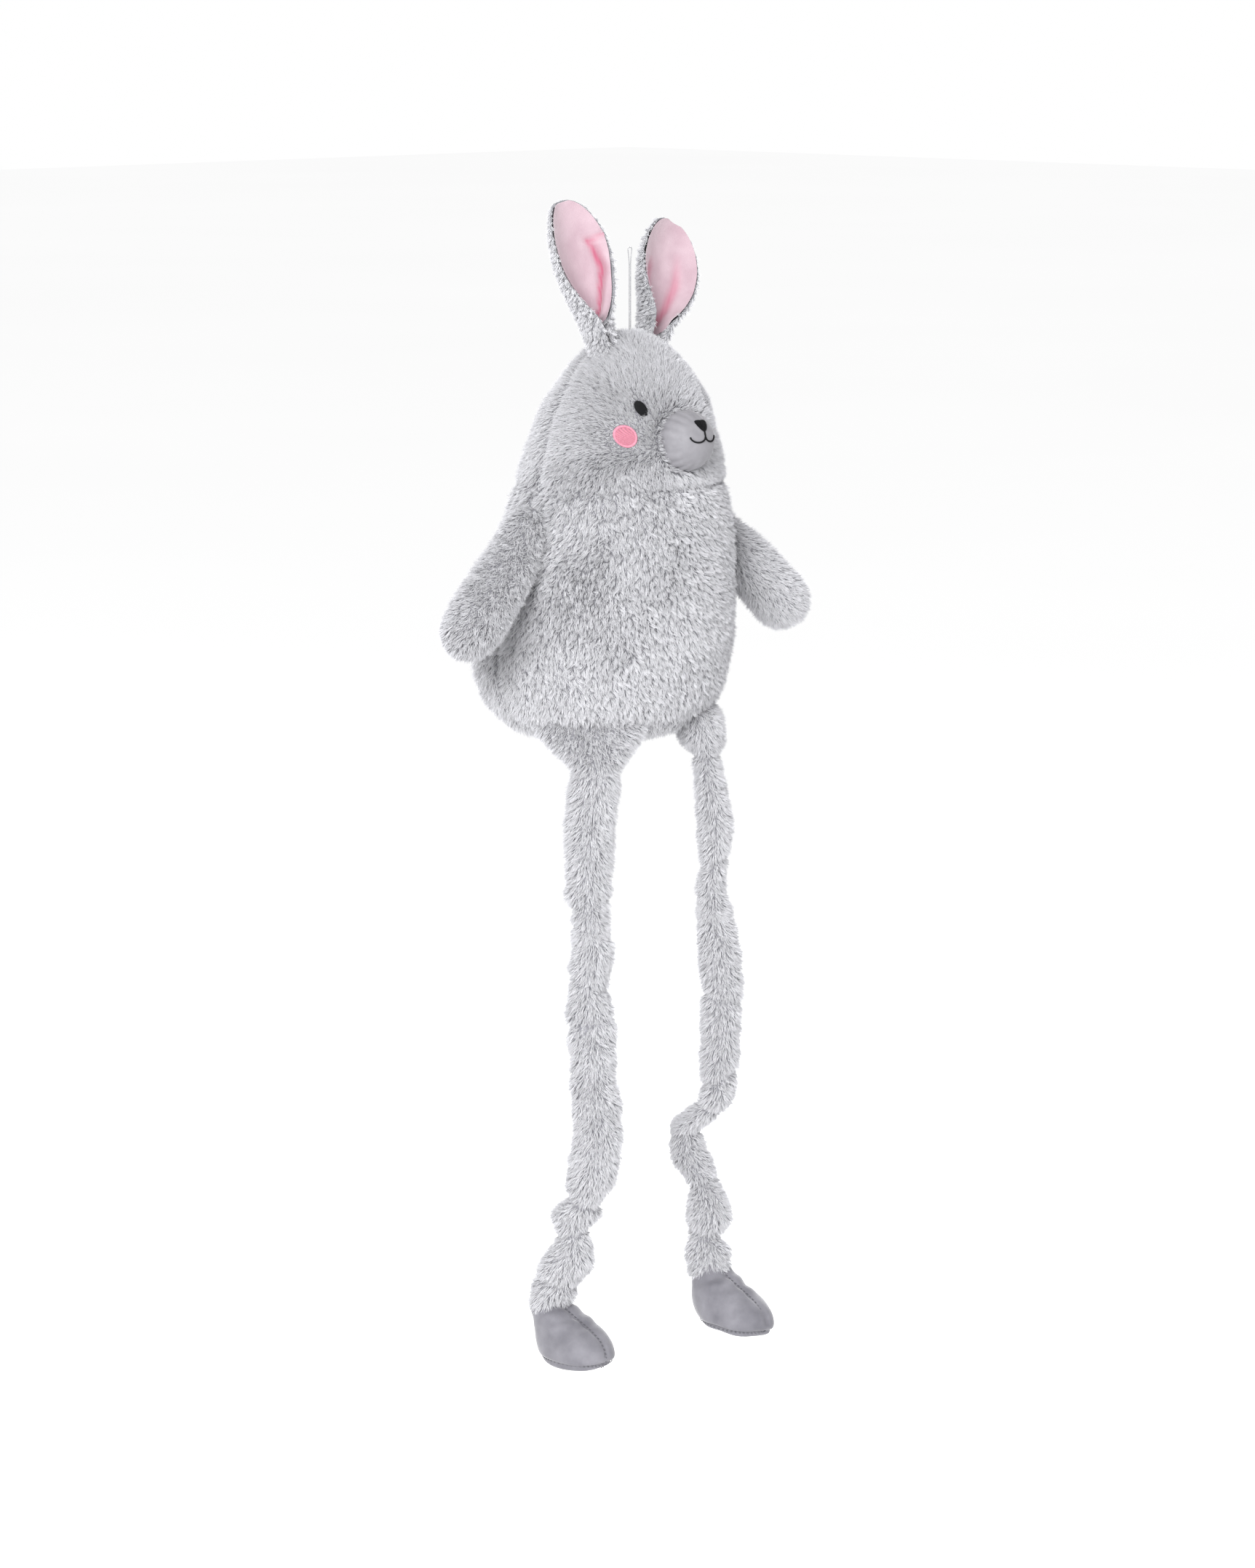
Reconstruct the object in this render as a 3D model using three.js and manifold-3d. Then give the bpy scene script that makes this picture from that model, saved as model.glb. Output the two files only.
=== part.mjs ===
// Long-legged stuffed rabbit hanging from a thread loop. Millimetres, +Z up, the face looks along -Y.
import * as THREE from 'three';
import { mergeVertices } from 'three/addons/utils/BufferGeometryUtils.js';
import Module from 'manifold-3d';

const wasm = await Module();
wasm.setup();

// ---- driving dimensions: heights are above the seat until the last step ----
const LOOP_TOP = 418;            // top of the hanging thread, where the origin goes
const HEAD_TOP = 350;
const NECK_SEAM = 221;
const SEAT_SEAM = 23;
const PELLET_TOP = 52;           // the weighted bag fills the bottom of the body
const SEAM_GAP = 0.3;
const CLOTH = 2.2;               // pile fabric, backing and pile together
const FILL_INSET = CLOTH + SEAM_GAP;
const WIDTH_RATIO = 1.06;        // section half-width over the profile radius
const DEPTH_RATIO = 0.93;

const EAR_LENGTHS = { right: 115, left: 107 };
const EAR_HALF_WIDTH = 35;
const EAR_PIVOT = [34, 2, 353];
const EAR_BACK_THICK = 8;
const EAR_LINING_THICK = 3;
const EAR_CUP = 9;               // how far the ear's edges curl forward

const MUZZLE = { y: -71, z: 260, rx: 27, ry: 16, rz: 26.5 };
const NOSE_HALF_WIDTH = 8;
const EYE_ANGLE = 0.59;
const EYE_Z = 288;
const EYE_SIZE = [5.2, 6.9];
const CHEEK_ANGLE = 0.79;
const CHEEK_Z = 264;
const CHEEK_RADIUS = 10.5;

const SHOULDER = [124, 14, 177];
const HAND = [178, 0, 111];      // centre of the round end of the arm
const ARM_RADII = [12.5, 21, 27.5, 31.5, 32.5];

const HIP = [66, -24, -37];
const KNEE_Z = -250;
const ANKLE_Z = -466;
const LEG_RADIUS = 20;
const KNEE_GAP = 2.6;
const GUSSET_RADII = [30, 22];   // where the leg meets the body, and where the tube starts
const GUSSET_BOTTOM = -13;

const FOOT_RADIUS = 24;
const FOOT_DROP = 36;            // from the ankle down to the toe's centre line
const FOOT_DROOP = { right: 0.4, left: 0.24 };
const FOOT_ANKLE_RADIUS = 16;
const SOLE_THICK = 2.5;
const TAIL_RADIUS = 25;
const THREAD_RADIUS = 0.45;

// ---- materials, one for each kind of cloth or thread ----
const plush = new THREE.MeshStandardMaterial({ name: 'plush', color: 0xcdcdd2, roughness: 1 });
const velvet = new THREE.MeshStandardMaterial({ name: 'velvet', color: 0xa4a2a9, roughness: 0.9 });
const muzzleVelvet = new THREE.MeshStandardMaterial({ name: 'muzzle_velvet', color: 0xc0bec4 });
const pinkVelvet = new THREE.MeshStandardMaterial({ name: 'pink_velvet', color: 0xe9ccd8 });
const pinkThread = new THREE.MeshStandardMaterial({ name: 'pink_thread', color: 0xf1a6bb });
const blackThread = new THREE.MeshStandardMaterial({ name: 'black_thread', color: 0x1c1b1e });
const fill = new THREE.MeshStandardMaterial({ name: 'fibre_fill', color: 0xf2f1ee });
const pellets = new THREE.MeshStandardMaterial({ name: 'pellet_bag', color: 0xe4e2dc });
const nylon = new THREE.MeshStandardMaterial({ name: 'nylon_thread', color: 0xd9dadc });

const bunny = new THREE.Group();
bunny.name = 'stuffed_rabbit';

// ---- helpers: every closed body is a run of rings between two end points ----
function fromTriangles(points, triangles) {
  const geometry = new THREE.BufferGeometry();
  geometry.setAttribute('position', new THREE.Float32BufferAttribute(points.flat(), 3));
  geometry.setIndex(triangles);
  return geometry;
}

function ringGeometry(rings) {
  const points = [];
  const starts = rings.map((ring) => {
    points.push(...ring);
    return points.length - ring.length;
  });
  const triangles = [];
  for (let i = 0; i + 1 < rings.length; i += 1) {
    const n = Math.max(rings[i].length, rings[i + 1].length);
    for (let j = 0; j < n; j += 1) {
      const k = (j + 1) % n;
      const a = starts[i] + (rings[i].length > 1 ? j : 0);
      const b = starts[i] + (rings[i].length > 1 ? k : 0);
      const c = starts[i + 1] + (rings[i + 1].length > 1 ? j : 0);
      const d = starts[i + 1] + (rings[i + 1].length > 1 ? k : 0);
      if (a !== b) triangles.push(a, b, c);
      if (c !== d) triangles.push(b, d, c);
    }
  }
  return fromTriangles(points, triangles);
}

function toSolid(geometry) {
  const plain = geometry.clone();
  plain.deleteAttribute('normal');
  plain.deleteAttribute('uv');
  const merged = mergeVertices(plain, 1e-4);
  const mesh = new wasm.Mesh({
    numProp: 3,
    vertProperties: new Float32Array(merged.attributes.position.array),
    triVerts: new Uint32Array(merged.index.array),
  });
  const solid = new wasm.Manifold(mesh);
  if (solid.volume() > 0) return solid;
  const index = Array.from(merged.index.array);
  for (let i = 0; i < index.length; i += 3) {
    [index[i + 1], index[i + 2]] = [index[i + 2], index[i + 1]];
  }
  return new wasm.Manifold(new wasm.Mesh({
    numProp: 3,
    vertProperties: new Float32Array(merged.attributes.position.array),
    triVerts: new Uint32Array(index),
  }));
}

function add(name, solid, material) {
  const mesh = solid.getMesh();
  const geometry = new THREE.BufferGeometry();
  const positions = Float32Array.from(mesh.vertProperties);
  for (let i = 2; i < positions.length; i += 3) positions[i] -= LOOP_TOP;
  geometry.setAttribute('position', new THREE.BufferAttribute(positions, 3));
  geometry.setIndex(new THREE.BufferAttribute(Uint32Array.from(mesh.triVerts), 1));
  geometry.computeVertexNormals();
  const piece = new THREE.Mesh(geometry, material);
  piece.name = name;
  bunny.add(piece);
}

const box = (x0, y0, z0, x1, y1, z1) =>
  wasm.Manifold.cube([x1 - x0, y1 - y0, z1 - z0]).translate([x0, y0, z0]);
const above = (z) => box(-600, -600, z, 600, 600, 900);
const below = (z) => box(-600, -600, -900, 600, 600, z);

function interpolate(table, at) {
  let i = 0;
  while (i + 2 < table.length && at > table[i + 1][0]) i += 1;
  const [x0, y0] = table[i];
  const [x1, y1] = table[i + 1];
  const t = Math.min(1, Math.max(0, (at - x0) / (x1 - x0)));
  return y0 + (y1 - y0) * t;
}

// ---- head and body: one pear profile, cut into sewn panels ----
const PROFILE = [
  [0, 0], [48, 1], [76, 8], [94, 23], [106, 44], [111.5, 68], [113, 92], [110.5, 122],
  [105, 155], [98, 188], [90, 218], [85, 240], [81, 259], [73, 283], [58, 308], [38, 332],
  [19, 345], [0, HEAD_TOP],
];
const LEAN = [[0, 31], [60, 31], [130, 24], [195, 14], [259, 7], [300, 5], [350, 1]];

function torsoSolid(inset) {
  const curve = new THREE.SplineCurve(PROFILE.map(([r, z]) => new THREE.Vector2(r, z)));
  const steps = 20;
  const sides = 28;
  const rings = [];
  for (let i = 0; i <= steps; i += 1) {
    const p = curve.getPoint(i / steps);
    const tangent = curve.getTangent(Math.min(0.9999, Math.max(0.0001, i / steps)));
    const r = p.x - inset * tangent.y;
    const z = p.y + inset * tangent.x;
    const y = interpolate(LEAN, p.y);
    if (i === 0 || i === steps) {
      rings.push([[0, y, i === 0 ? p.y + inset : p.y - inset]]);
    } else {
      const ring = [];
      for (let j = 0; j < sides; j += 1) {
        const angle = (2 * Math.PI * j) / sides;
        ring.push([WIDTH_RATIO * r * Math.cos(angle), y + DEPTH_RATIO * r * Math.sin(angle), z]);
      }
      rings.push(ring);
    }
  }
  return toSolid(ringGeometry(rings));
}

// The side seams run down each flank just behind the widest line.
function flankHalf(front) {
  const shape = new THREE.Shape();
  const edge = front ? -SEAM_GAP / 2 : SEAM_GAP / 2;
  const far = front ? -400 : 400;
  const line = LEAN.map(([z, y]) => [y + 9 + edge, z]);
  shape.moveTo(far, -100);
  shape.lineTo(line[0][0], -100);
  line.forEach(([y, z]) => shape.lineTo(y, z));
  shape.lineTo(line[line.length - 1][0], 500);
  shape.lineTo(far, 500);
  const slab = new THREE.ExtrudeGeometry(shape, { depth: 800, bevelEnabled: false });
  slab.rotateX(Math.PI / 2);
  slab.rotateZ(Math.PI / 2);
  slab.translate(-400, 0, 0);
  return toSolid(slab);
}

const torso = torsoSolid(0);
const torsoSkin = torso.subtract(torsoSolid(CLOTH));
const torsoFill = torsoSolid(FILL_INSET);
const torsoClear = torsoSolid(-SEAM_GAP);
const frontHalf = flankHalf(true);
const backHalf = flankHalf(false);
const headSkin = torsoSkin.intersect(above(NECK_SEAM + SEAM_GAP / 2));
const bodySkin = torsoSkin.intersect(below(NECK_SEAM - SEAM_GAP / 2))
  .intersect(above(SEAT_SEAM + SEAM_GAP / 2));
add('head_front_panel', headSkin.intersect(frontHalf), plush);
add('head_back_panel', headSkin.intersect(backHalf), plush);
add('body_front_panel', bodySkin.intersect(frontHalf), plush);
add('body_back_panel', bodySkin.intersect(backHalf), plush);
add('seat_panel', torsoSkin.intersect(below(SEAT_SEAM - SEAM_GAP / 2)), plush);
add('head_stuffing', torsoFill.intersect(above(NECK_SEAM + SEAM_GAP / 2)), fill);
add('body_stuffing', torsoFill.intersect(below(NECK_SEAM - SEAM_GAP / 2))
  .intersect(above(PELLET_TOP + SEAM_GAP / 2)), fill);
add('pellet_bag', torsoFill.intersect(below(PELLET_TOP - SEAM_GAP / 2)), pellets);

// ---- muzzle: a velvet dome on the front of the head ----
function muzzleSolid(grow) {
  const ball = new THREE.SphereGeometry(1, 24, 14);
  ball.scale(MUZZLE.rx + grow, MUZZLE.ry + grow, MUZZLE.rz + grow);
  ball.translate(0, MUZZLE.y, MUZZLE.z);
  return toSolid(ball);
}

const muzzle = muzzleSolid(0);
const snout = box(-60, -200, 200, 60, MUZZLE.y + 8, 330);
add('muzzle_cover', muzzle.subtract(muzzleSolid(-CLOTH)).subtract(torsoClear)
  .intersect(snout), muzzleVelvet);
add('muzzle_stuffing', muzzleSolid(-FILL_INSET).subtract(torsoClear).intersect(snout), fill);

// Embroidery lies on the cloth: a flat outline cut out of a thin skin around it.
function stitchedFlat(shape, turn, at, skin) {
  const slab = new THREE.ExtrudeGeometry(shape, {
    depth: 90, bevelEnabled: false, curveSegments: 5,
  });
  slab.rotateX(Math.PI / 2);
  slab.rotateZ(turn);
  slab.translate(...at);
  return toSolid(slab).intersect(skin);
}

function ellipseShape(rx, ry, turn = 0) {
  const shape = new THREE.Shape();
  shape.absellipse(0, 0, rx, ry, 0, 2 * Math.PI, false, turn);
  return shape;
}

const noseShape = new THREE.Shape();
noseShape.moveTo(-NOSE_HALF_WIDTH, 5);
noseShape.quadraticCurveTo(-NOSE_HALF_WIDTH, 7.5, -NOSE_HALF_WIDTH + 3, 7.5);
noseShape.lineTo(NOSE_HALF_WIDTH - 3, 7.5);
noseShape.quadraticCurveTo(NOSE_HALF_WIDTH, 7.5, NOSE_HALF_WIDTH, 5);
noseShape.quadraticCurveTo(6, -2, 1.6, -5);
noseShape.lineTo(-1.6, -5);
noseShape.quadraticCurveTo(-6, -2, -NOSE_HALF_WIDTH, 5);
const muzzleRaised = muzzleSolid(1.8).subtract(muzzleSolid(SEAM_GAP));
add('nose_patch', stitchedFlat(noseShape, 0, [0, MUZZLE.y, MUZZLE.z + 10], muzzleRaised),
  blackThread);

// The mouth is a short upright line over two shallow arcs.
const mouthShape = new THREE.Shape();
const MOUTH_LINE = 0.9;
mouthShape.moveTo(-MOUTH_LINE, 0);
mouthShape.lineTo(MOUTH_LINE, 0);
mouthShape.lineTo(MOUTH_LINE, -6);
mouthShape.quadraticCurveTo(6, -11.5, 13, -6);
mouthShape.lineTo(14.2, -7.6);
mouthShape.quadraticCurveTo(6.4, -13.8, 0, -8.6);
mouthShape.quadraticCurveTo(-6.4, -13.8, -14.2, -7.6);
mouthShape.lineTo(-13, -6);
mouthShape.quadraticCurveTo(-6, -11.5, -MOUTH_LINE, -6);
mouthShape.lineTo(-MOUTH_LINE, 0);
const muzzleLine = muzzleSolid(1.2).subtract(muzzleSolid(SEAM_GAP));
add('mouth_embroidery', stitchedFlat(mouthShape, 0, [0, MUZZLE.y, MUZZLE.z + 4.6], muzzleLine),
  blackThread);

const raised = torsoSolid(-1.9).subtract(torsoClear);
for (const [side, word] of [[-1, 'right'], [1, 'left']]) {
  const eye = ellipseShape(...EYE_SIZE, -side * 0.25);
  add(`eye_${word}`, stitchedFlat(eye, side * EYE_ANGLE, [0, 4, EYE_Z], raised), blackThread);
  const cheek = ellipseShape(CHEEK_RADIUS, CHEEK_RADIUS);
  add(`cheek_${word}`, stitchedFlat(cheek, side * CHEEK_ANGLE, [0, 5, CHEEK_Z], raised),
    pinkThread);
}

// ---- tail: a round tuft low on the back ----
const tail = new THREE.SphereGeometry(TAIL_RADIUS, 16, 10);
tail.translate(0, LEAN[0][1] + DEPTH_RATIO * 109 + 12, 62);
add('tail_pompom', toSolid(tail).subtract(torsoClear), plush);

// ---- limbs: tubes of cloth with round ends around their stuffing ----
function frameAt(tangent) {
  const across = new THREE.Vector3(1, 0, 0).addScaledVector(tangent, -tangent.x).normalize();
  const out = new THREE.Vector3().crossVectors(tangent, across).normalize();
  return [across, out];
}

function tubeRings(path, radii, inset, sides, steps) {
  const curve = new THREE.CatmullRomCurve3(path.map((p) => new THREE.Vector3(...p)));
  const radiusAt = (t) => interpolate(radii.map((r, i) => [i / (radii.length - 1), r]), t) - inset;
  const ring = (centre, tangent, radius) => {
    const [across, out] = frameAt(tangent);
    const points = [];
    for (let j = 0; j < sides; j += 1) {
      const angle = (2 * Math.PI * j) / sides;
      const p = centre.clone().addScaledVector(across, radius * Math.cos(angle))
        .addScaledVector(out, radius * Math.sin(angle));
      points.push(p.toArray());
    }
    return points;
  };
  const first = curve.getPointAt(0);
  const firstWay = curve.getTangentAt(0);
  const last = curve.getPointAt(1);
  const lastWay = curve.getTangentAt(1);
  const caps = 4;
  const rings = [[first.clone().addScaledVector(firstWay, -radiusAt(0)).toArray()]];
  for (let i = 1; i < caps; i += 1) {
    const angle = (Math.PI / 2) * (i / caps);
    const centre = first.clone().addScaledVector(firstWay, -radiusAt(0) * Math.cos(angle));
    rings.push(ring(centre, firstWay, radiusAt(0) * Math.sin(angle)));
  }
  for (let i = 0; i <= steps; i += 1) {
    const t = i / steps;
    rings.push(ring(curve.getPointAt(t), curve.getTangentAt(t), radiusAt(t)));
  }
  for (let i = caps - 1; i > 0; i -= 1) {
    const angle = (Math.PI / 2) * (i / caps);
    const centre = last.clone().addScaledVector(lastWay, radiusAt(1) * Math.cos(angle));
    rings.push(ring(centre, lastWay, radiusAt(1) * Math.sin(angle)));
  }
  rings.push([last.clone().addScaledVector(lastWay, radiusAt(1)).toArray()]);
  return rings;
}

// A skin is open at its sewn end, so it is one run of rings from inside to outside.
function limb(name, path, radii, sides, steps) {
  const outer = tubeRings(path, radii, 0, sides, steps);
  const inner = tubeRings(path, radii, CLOTH, sides, steps);
  const rings = [...inner.slice(2).reverse(), ...outer.slice(2)];
  add(`${name}_skin`, toSolid(ringGeometry(rings)), plush);
  add(`${name}_stuffing`, toSolid(ringGeometry(tubeRings(path, radii, FILL_INSET, sides, steps))),
    fill);
}

// ---- ears: a cupped plush back with a velvet lining ----
const EAR_OUTLINE = [
  [0, 0.64], [0.1, 0.75], [0.25, 0.88], [0.42, 0.98], [0.58, 1], [0.74, 0.92], [0.87, 0.7],
  [0.95, 0.44], [1, 0.2],
];

const EAR_WAYS = { right: [-33, 24, 108], left: [44, 34, 92] };

function earSolid(side, word, scale, fromFront, thick) {
  const length = EAR_LENGTHS[word];
  const way = EAR_WAYS[word];
  const along = new THREE.Vector3(...way).normalize();
  const across = new THREE.Vector3(1, 0, 0).addScaledVector(along, -along.x).normalize();
  const front = new THREE.Vector3().crossVectors(across, along).multiplyScalar(-1).negate();
  const start = new THREE.Vector3(side * EAR_PIVOT[0], EAR_PIVOT[1], EAR_PIVOT[2])
    .addScaledVector(along, -7);
  const margin = (1 - scale) * 0.5;
  const steps = 10;
  const half = 5;
  const place = (p, q, n) => start.clone().addScaledVector(across, p)
    .addScaledVector(along, q).addScaledVector(front, n).toArray();
  const rings = [[place(0, length * margin - (scale === 1 ? 1 : 0), fromFront - thick / 2)]];
  for (let i = 0; i <= steps; i += 1) {
    const t = i / steps;
    const q = length * (margin + (1 - 2 * margin) * t);
    const w = EAR_HALF_WIDTH * scale * interpolate(EAR_OUTLINE, t);
    const fullWidth = EAR_HALF_WIDTH * interpolate(EAR_OUTLINE, q / length);
    const ring = [];
    for (let j = 0; j <= half; j += 1) {
      const p = w * Math.cos((Math.PI * j) / half);
      const cup = EAR_CUP * (w / EAR_HALF_WIDTH) * (p / fullWidth) ** 2;
      ring.push(place(p, q, cup + fromFront));
    }
    for (let j = half - 1; j > 0; j -= 1) {
      const p = w * Math.cos((Math.PI * j) / half);
      const cup = EAR_CUP * (w / EAR_HALF_WIDTH) * (p / fullWidth) ** 2;
      const depth = thick * Math.sin((Math.PI * j) / half) * Math.min(1, 0.5 + 4 * (1 - t));
      ring.push(place(p, q, cup + fromFront - depth));
    }
    rings.push(ring);
  }
  rings.push([place(0, length * (1 - margin) + (scale === 1 ? 3 : 1),
    fromFront - thick * 0.25)]);
  return toSolid(ringGeometry(rings));
}

for (const [side, word] of [[-1, 'right'], [1, 'left']]) {
  const back = earSolid(side, word, 1, 0, EAR_BACK_THICK);
  add(`ear_${word}_back`, back, plush);
  const lining = earSolid(side, word, 0.84, EAR_LINING_THICK + SEAM_GAP + 0.2, EAR_LINING_THICK);
  add(`ear_${word}_lining`, lining.subtract(back), pinkVelvet);
}

// ---- arms, and legs that bend a little at the places where the cloth has gone limp ----
const LEG_SPLAY = [[-13, 66], [-230, 74], [-500, 74]];
const LEG_SWAY = {
  right: [[-37, -24], [-240, -28], [-304, -33], [-368, -30], [-400, -16], [-433, -8], [-466, 12]],
  left: [[-37, -27], [-140, -36], [-250, -33], [-350, -10], [-382, -10], [-431, -27], [-466, -30]],
};

function hipCone(side) {
  const [top, bottom] = GUSSET_RADII;
  const outline = [[0, GUSSET_BOTTOM], [bottom - 5, GUSSET_BOTTOM], [bottom, GUSSET_BOTTOM + 5],
    [(top + bottom) / 2, 8], [top, 36], [0, 36]];
  const cone = new THREE.LatheGeometry(outline.map(([r, z]) => new THREE.Vector2(r, z)), 20);
  cone.rotateX(Math.PI / 2);
  cone.translate(side * HIP[0], HIP[1], 0);
  return toSolid(cone);
}

function footPath(ankle, droop) {
  const toe = (length, drop) => [
    ankle[0],
    ankle[1] - length * Math.cos(droop) + drop * Math.sin(droop),
    ankle[2] - length * Math.sin(droop) - drop * Math.cos(droop),
  ];
  return [ankle, toe(-6, 20), toe(6, 33), toe(30, 36), toe(48, FOOT_DROP)];
}

for (const [side, word] of [[-1, 'right'], [1, 'left']]) {
  const shoulder = [side * SHOULDER[0], SHOULDER[1], SHOULDER[2]];
  const hand = [side * HAND[0], HAND[1], HAND[2]];
  limb(`arm_${word}`, [shoulder, hand], ARM_RADII, 16, 5);

  add(`hip_gusset_${word}`, hipCone(side).subtract(torsoClear).intersect(below(60)), plush);

  const sway = (z) => interpolate(LEG_SWAY[word].map(([a, b]) => [-a, b]), -z);
  const splay = (z) => side * interpolate(LEG_SPLAY.map(([a, b]) => [-a, b]), -z);
  const kneeEnd = KNEE_Z + 2 * LEG_RADIUS + KNEE_GAP;
  const thighPath = [HIP[2], (HIP[2] + kneeEnd) / 2, kneeEnd].map((z) => [splay(z), sway(z), z]);
  limb(`thigh_${word}`, thighPath, [LEG_RADIUS + 1, LEG_RADIUS, LEG_RADIUS], 14, 5);
  const shinEnd = ANKLE_Z + FOOT_ANKLE_RADIUS + LEG_RADIUS + 2;
  const shinPath = [0, 0.25, 0.5, 0.75, 1].map((t) => {
    const z = KNEE_Z + (shinEnd - KNEE_Z) * t;
    return [splay(z), sway(z), z];
  });
  limb(`shin_${word}`, shinPath, [LEG_RADIUS, LEG_RADIUS, LEG_RADIUS, LEG_RADIUS], 14, 8);

  // foot: a smooth bootie with a flat sole strip under it
  const droop = FOOT_DROOP[word];
  const ankle = [splay(ANKLE_Z), sway(ANKLE_Z), ANKLE_Z];
  const path = footPath(ankle, droop);
  const radii = [FOOT_ANKLE_RADIUS, FOOT_RADIUS - 4, FOOT_RADIUS, FOOT_RADIUS, FOOT_RADIUS - 1];
  const footOf = (inset) => toSolid(ringGeometry(tubeRings(path, radii, inset, 16, 6)));
  const cut = (from, to) => {
    const slab = new THREE.BoxGeometry(300, 300, to - from);
    slab.translate(0, 0, (from + to) / 2 - FOOT_DROP - FOOT_RADIUS + 5);
    slab.rotateX(droop);
    slab.translate(...ankle);
    return toSolid(slab);
  };
  const foot = footOf(0);
  const over = cut(SOLE_THICK + SEAM_GAP, 300);
  const hollow = footOf(CLOTH);
  add(`foot_${word}_upper`, foot.subtract(hollow).intersect(over), velvet);
  add(`foot_${word}_sole`, foot.intersect(cut(0, SOLE_THICK)), velvet);
  add(`foot_${word}_stuffing`, footOf(FILL_INSET).intersect(hollow).intersect(over), fill);
}

// ---- hanging loop: one doubled nylon thread out of the top of the head ----
const LOOP_HALF_GAP = 0.8;
const LOOP_BEND = 2.2;
const loopTop = LOOP_TOP - THREAD_RADIUS;
const loopPoints = [[-LOOP_HALF_GAP, HEAD_TOP + 0.5]];
for (const z of [365, 380, 395, 405]) loopPoints.push([-LOOP_HALF_GAP, z]);
for (let i = 0; i <= 8; i += 1) {
  const angle = Math.PI - (Math.PI * i) / 8;
  loopPoints.push([LOOP_BEND * Math.cos(angle), loopTop - LOOP_BEND + LOOP_BEND * Math.sin(angle)]);
}
for (const z of [405, 395, 380, 365]) loopPoints.push([LOOP_HALF_GAP, z]);
loopPoints.push([LOOP_HALF_GAP, HEAD_TOP + 0.5]);
const loopCurve = new THREE.CatmullRomCurve3(loopPoints.map(([x, z]) => new THREE.Vector3(x, 0, z)));
const threadSection = new THREE.Shape();
threadSection.absarc(0, 0, THREAD_RADIUS, 0, 2 * Math.PI, false);
const thread = new THREE.ExtrudeGeometry(threadSection, {
  steps: 70, curveSegments: 8, extrudePath: loopCurve, bevelEnabled: false,
});
add('hanging_loop', toSolid(thread), nylon);

export default bunny;
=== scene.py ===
import math

import bpy
import numpy as np
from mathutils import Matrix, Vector


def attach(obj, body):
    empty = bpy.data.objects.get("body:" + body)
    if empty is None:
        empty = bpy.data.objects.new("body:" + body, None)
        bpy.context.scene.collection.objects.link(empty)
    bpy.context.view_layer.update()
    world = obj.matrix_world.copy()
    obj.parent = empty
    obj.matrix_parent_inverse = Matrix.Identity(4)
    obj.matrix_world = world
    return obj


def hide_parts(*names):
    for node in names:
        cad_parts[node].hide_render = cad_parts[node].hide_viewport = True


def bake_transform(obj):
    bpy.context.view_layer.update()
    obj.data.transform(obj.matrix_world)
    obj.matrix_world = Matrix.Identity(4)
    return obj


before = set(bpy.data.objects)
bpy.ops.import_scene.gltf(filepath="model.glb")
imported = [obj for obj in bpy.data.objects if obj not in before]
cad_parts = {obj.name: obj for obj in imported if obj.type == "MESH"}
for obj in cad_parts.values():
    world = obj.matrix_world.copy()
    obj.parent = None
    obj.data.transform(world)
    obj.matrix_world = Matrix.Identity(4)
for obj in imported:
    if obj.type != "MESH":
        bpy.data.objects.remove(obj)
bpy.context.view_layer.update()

# ---------------------------------------------------------------------------------------------
# Camera: level with the belly, turned to the toy's right cheek. Heights in this script are in
# millimetres above the seat of the toy, and at() turns them into the frame, whose origin is the
# top of the hanging loop.
# ---------------------------------------------------------------------------------------------
LOOP_TOP = 418.0
MM = 0.001


def at(x, y, z):
    """A point in the frame, in metres, from millimetres with the height above the seat."""
    return Vector((x * MM, y * MM, (z - LOOP_TOP) * MM))


def place(points):
    """An array of points in the frame, in metres, from millimetres above the seat."""
    return (np.asarray(points, float) - np.array([0.0, 0.0, LOOP_TOP])) * MM


VIEW_TURN = math.radians(-45)
VIEW_RISE = math.radians(10)
VIEW_DISTANCE = 3.9
camera_data = bpy.data.cameras.new("camera")
camera_data.sensor_fit = "VERTICAL"
camera_data.sensor_height = 24
camera_data.lens = 70
camera = bpy.data.objects.new("camera", camera_data)
bpy.context.scene.collection.objects.link(camera)
view_aim = at(-1.4, 1.4, -38)
view_back = Vector((math.sin(VIEW_TURN) * math.cos(VIEW_RISE),
                    -math.cos(VIEW_TURN) * math.cos(VIEW_RISE), math.sin(VIEW_RISE)))
camera.location = view_aim + view_back * VIEW_DISTANCE
camera.rotation_euler = (-view_back).to_track_quat("-Z", "Y").to_euler()
bpy.context.scene.camera = camera
bpy.context.scene.view_settings.view_transform = "Standard"

# ---------------------------------------------------------------------------------------------
# Hanging loop: one length of clear nylon thread, doubled, sewn into the crown seam at both
# ends. It is pulled straight by the toy's weight and opens into a small eye at the top.
# ---------------------------------------------------------------------------------------------
THREAD_RADIUS = 0.45
LOOP_HALF_GAP = 0.8
LOOP_BEND = 2.2
HEAD_TOP = 350.0


def shader(name, roughness):
    """A new material and the few nodes that every finish here starts from."""
    material = bpy.data.materials.new(name)
    material.use_nodes = True
    tree = material.node_tree
    surface = tree.nodes["Principled BSDF"]
    surface.inputs["Roughness"].default_value = roughness
    return material, tree, surface


def wire(tree, kind, **inputs):
    """A shader node with its inputs set or linked; spaces in their names are underscores."""
    node = tree.nodes.new(kind)
    for name, value in inputs.items():
        socket = node.inputs[name.replace("_", " ")]
        if isinstance(value, bpy.types.NodeSocket):
            tree.links.new(value, socket)
        else:
            socket.default_value = value
    return node


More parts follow.
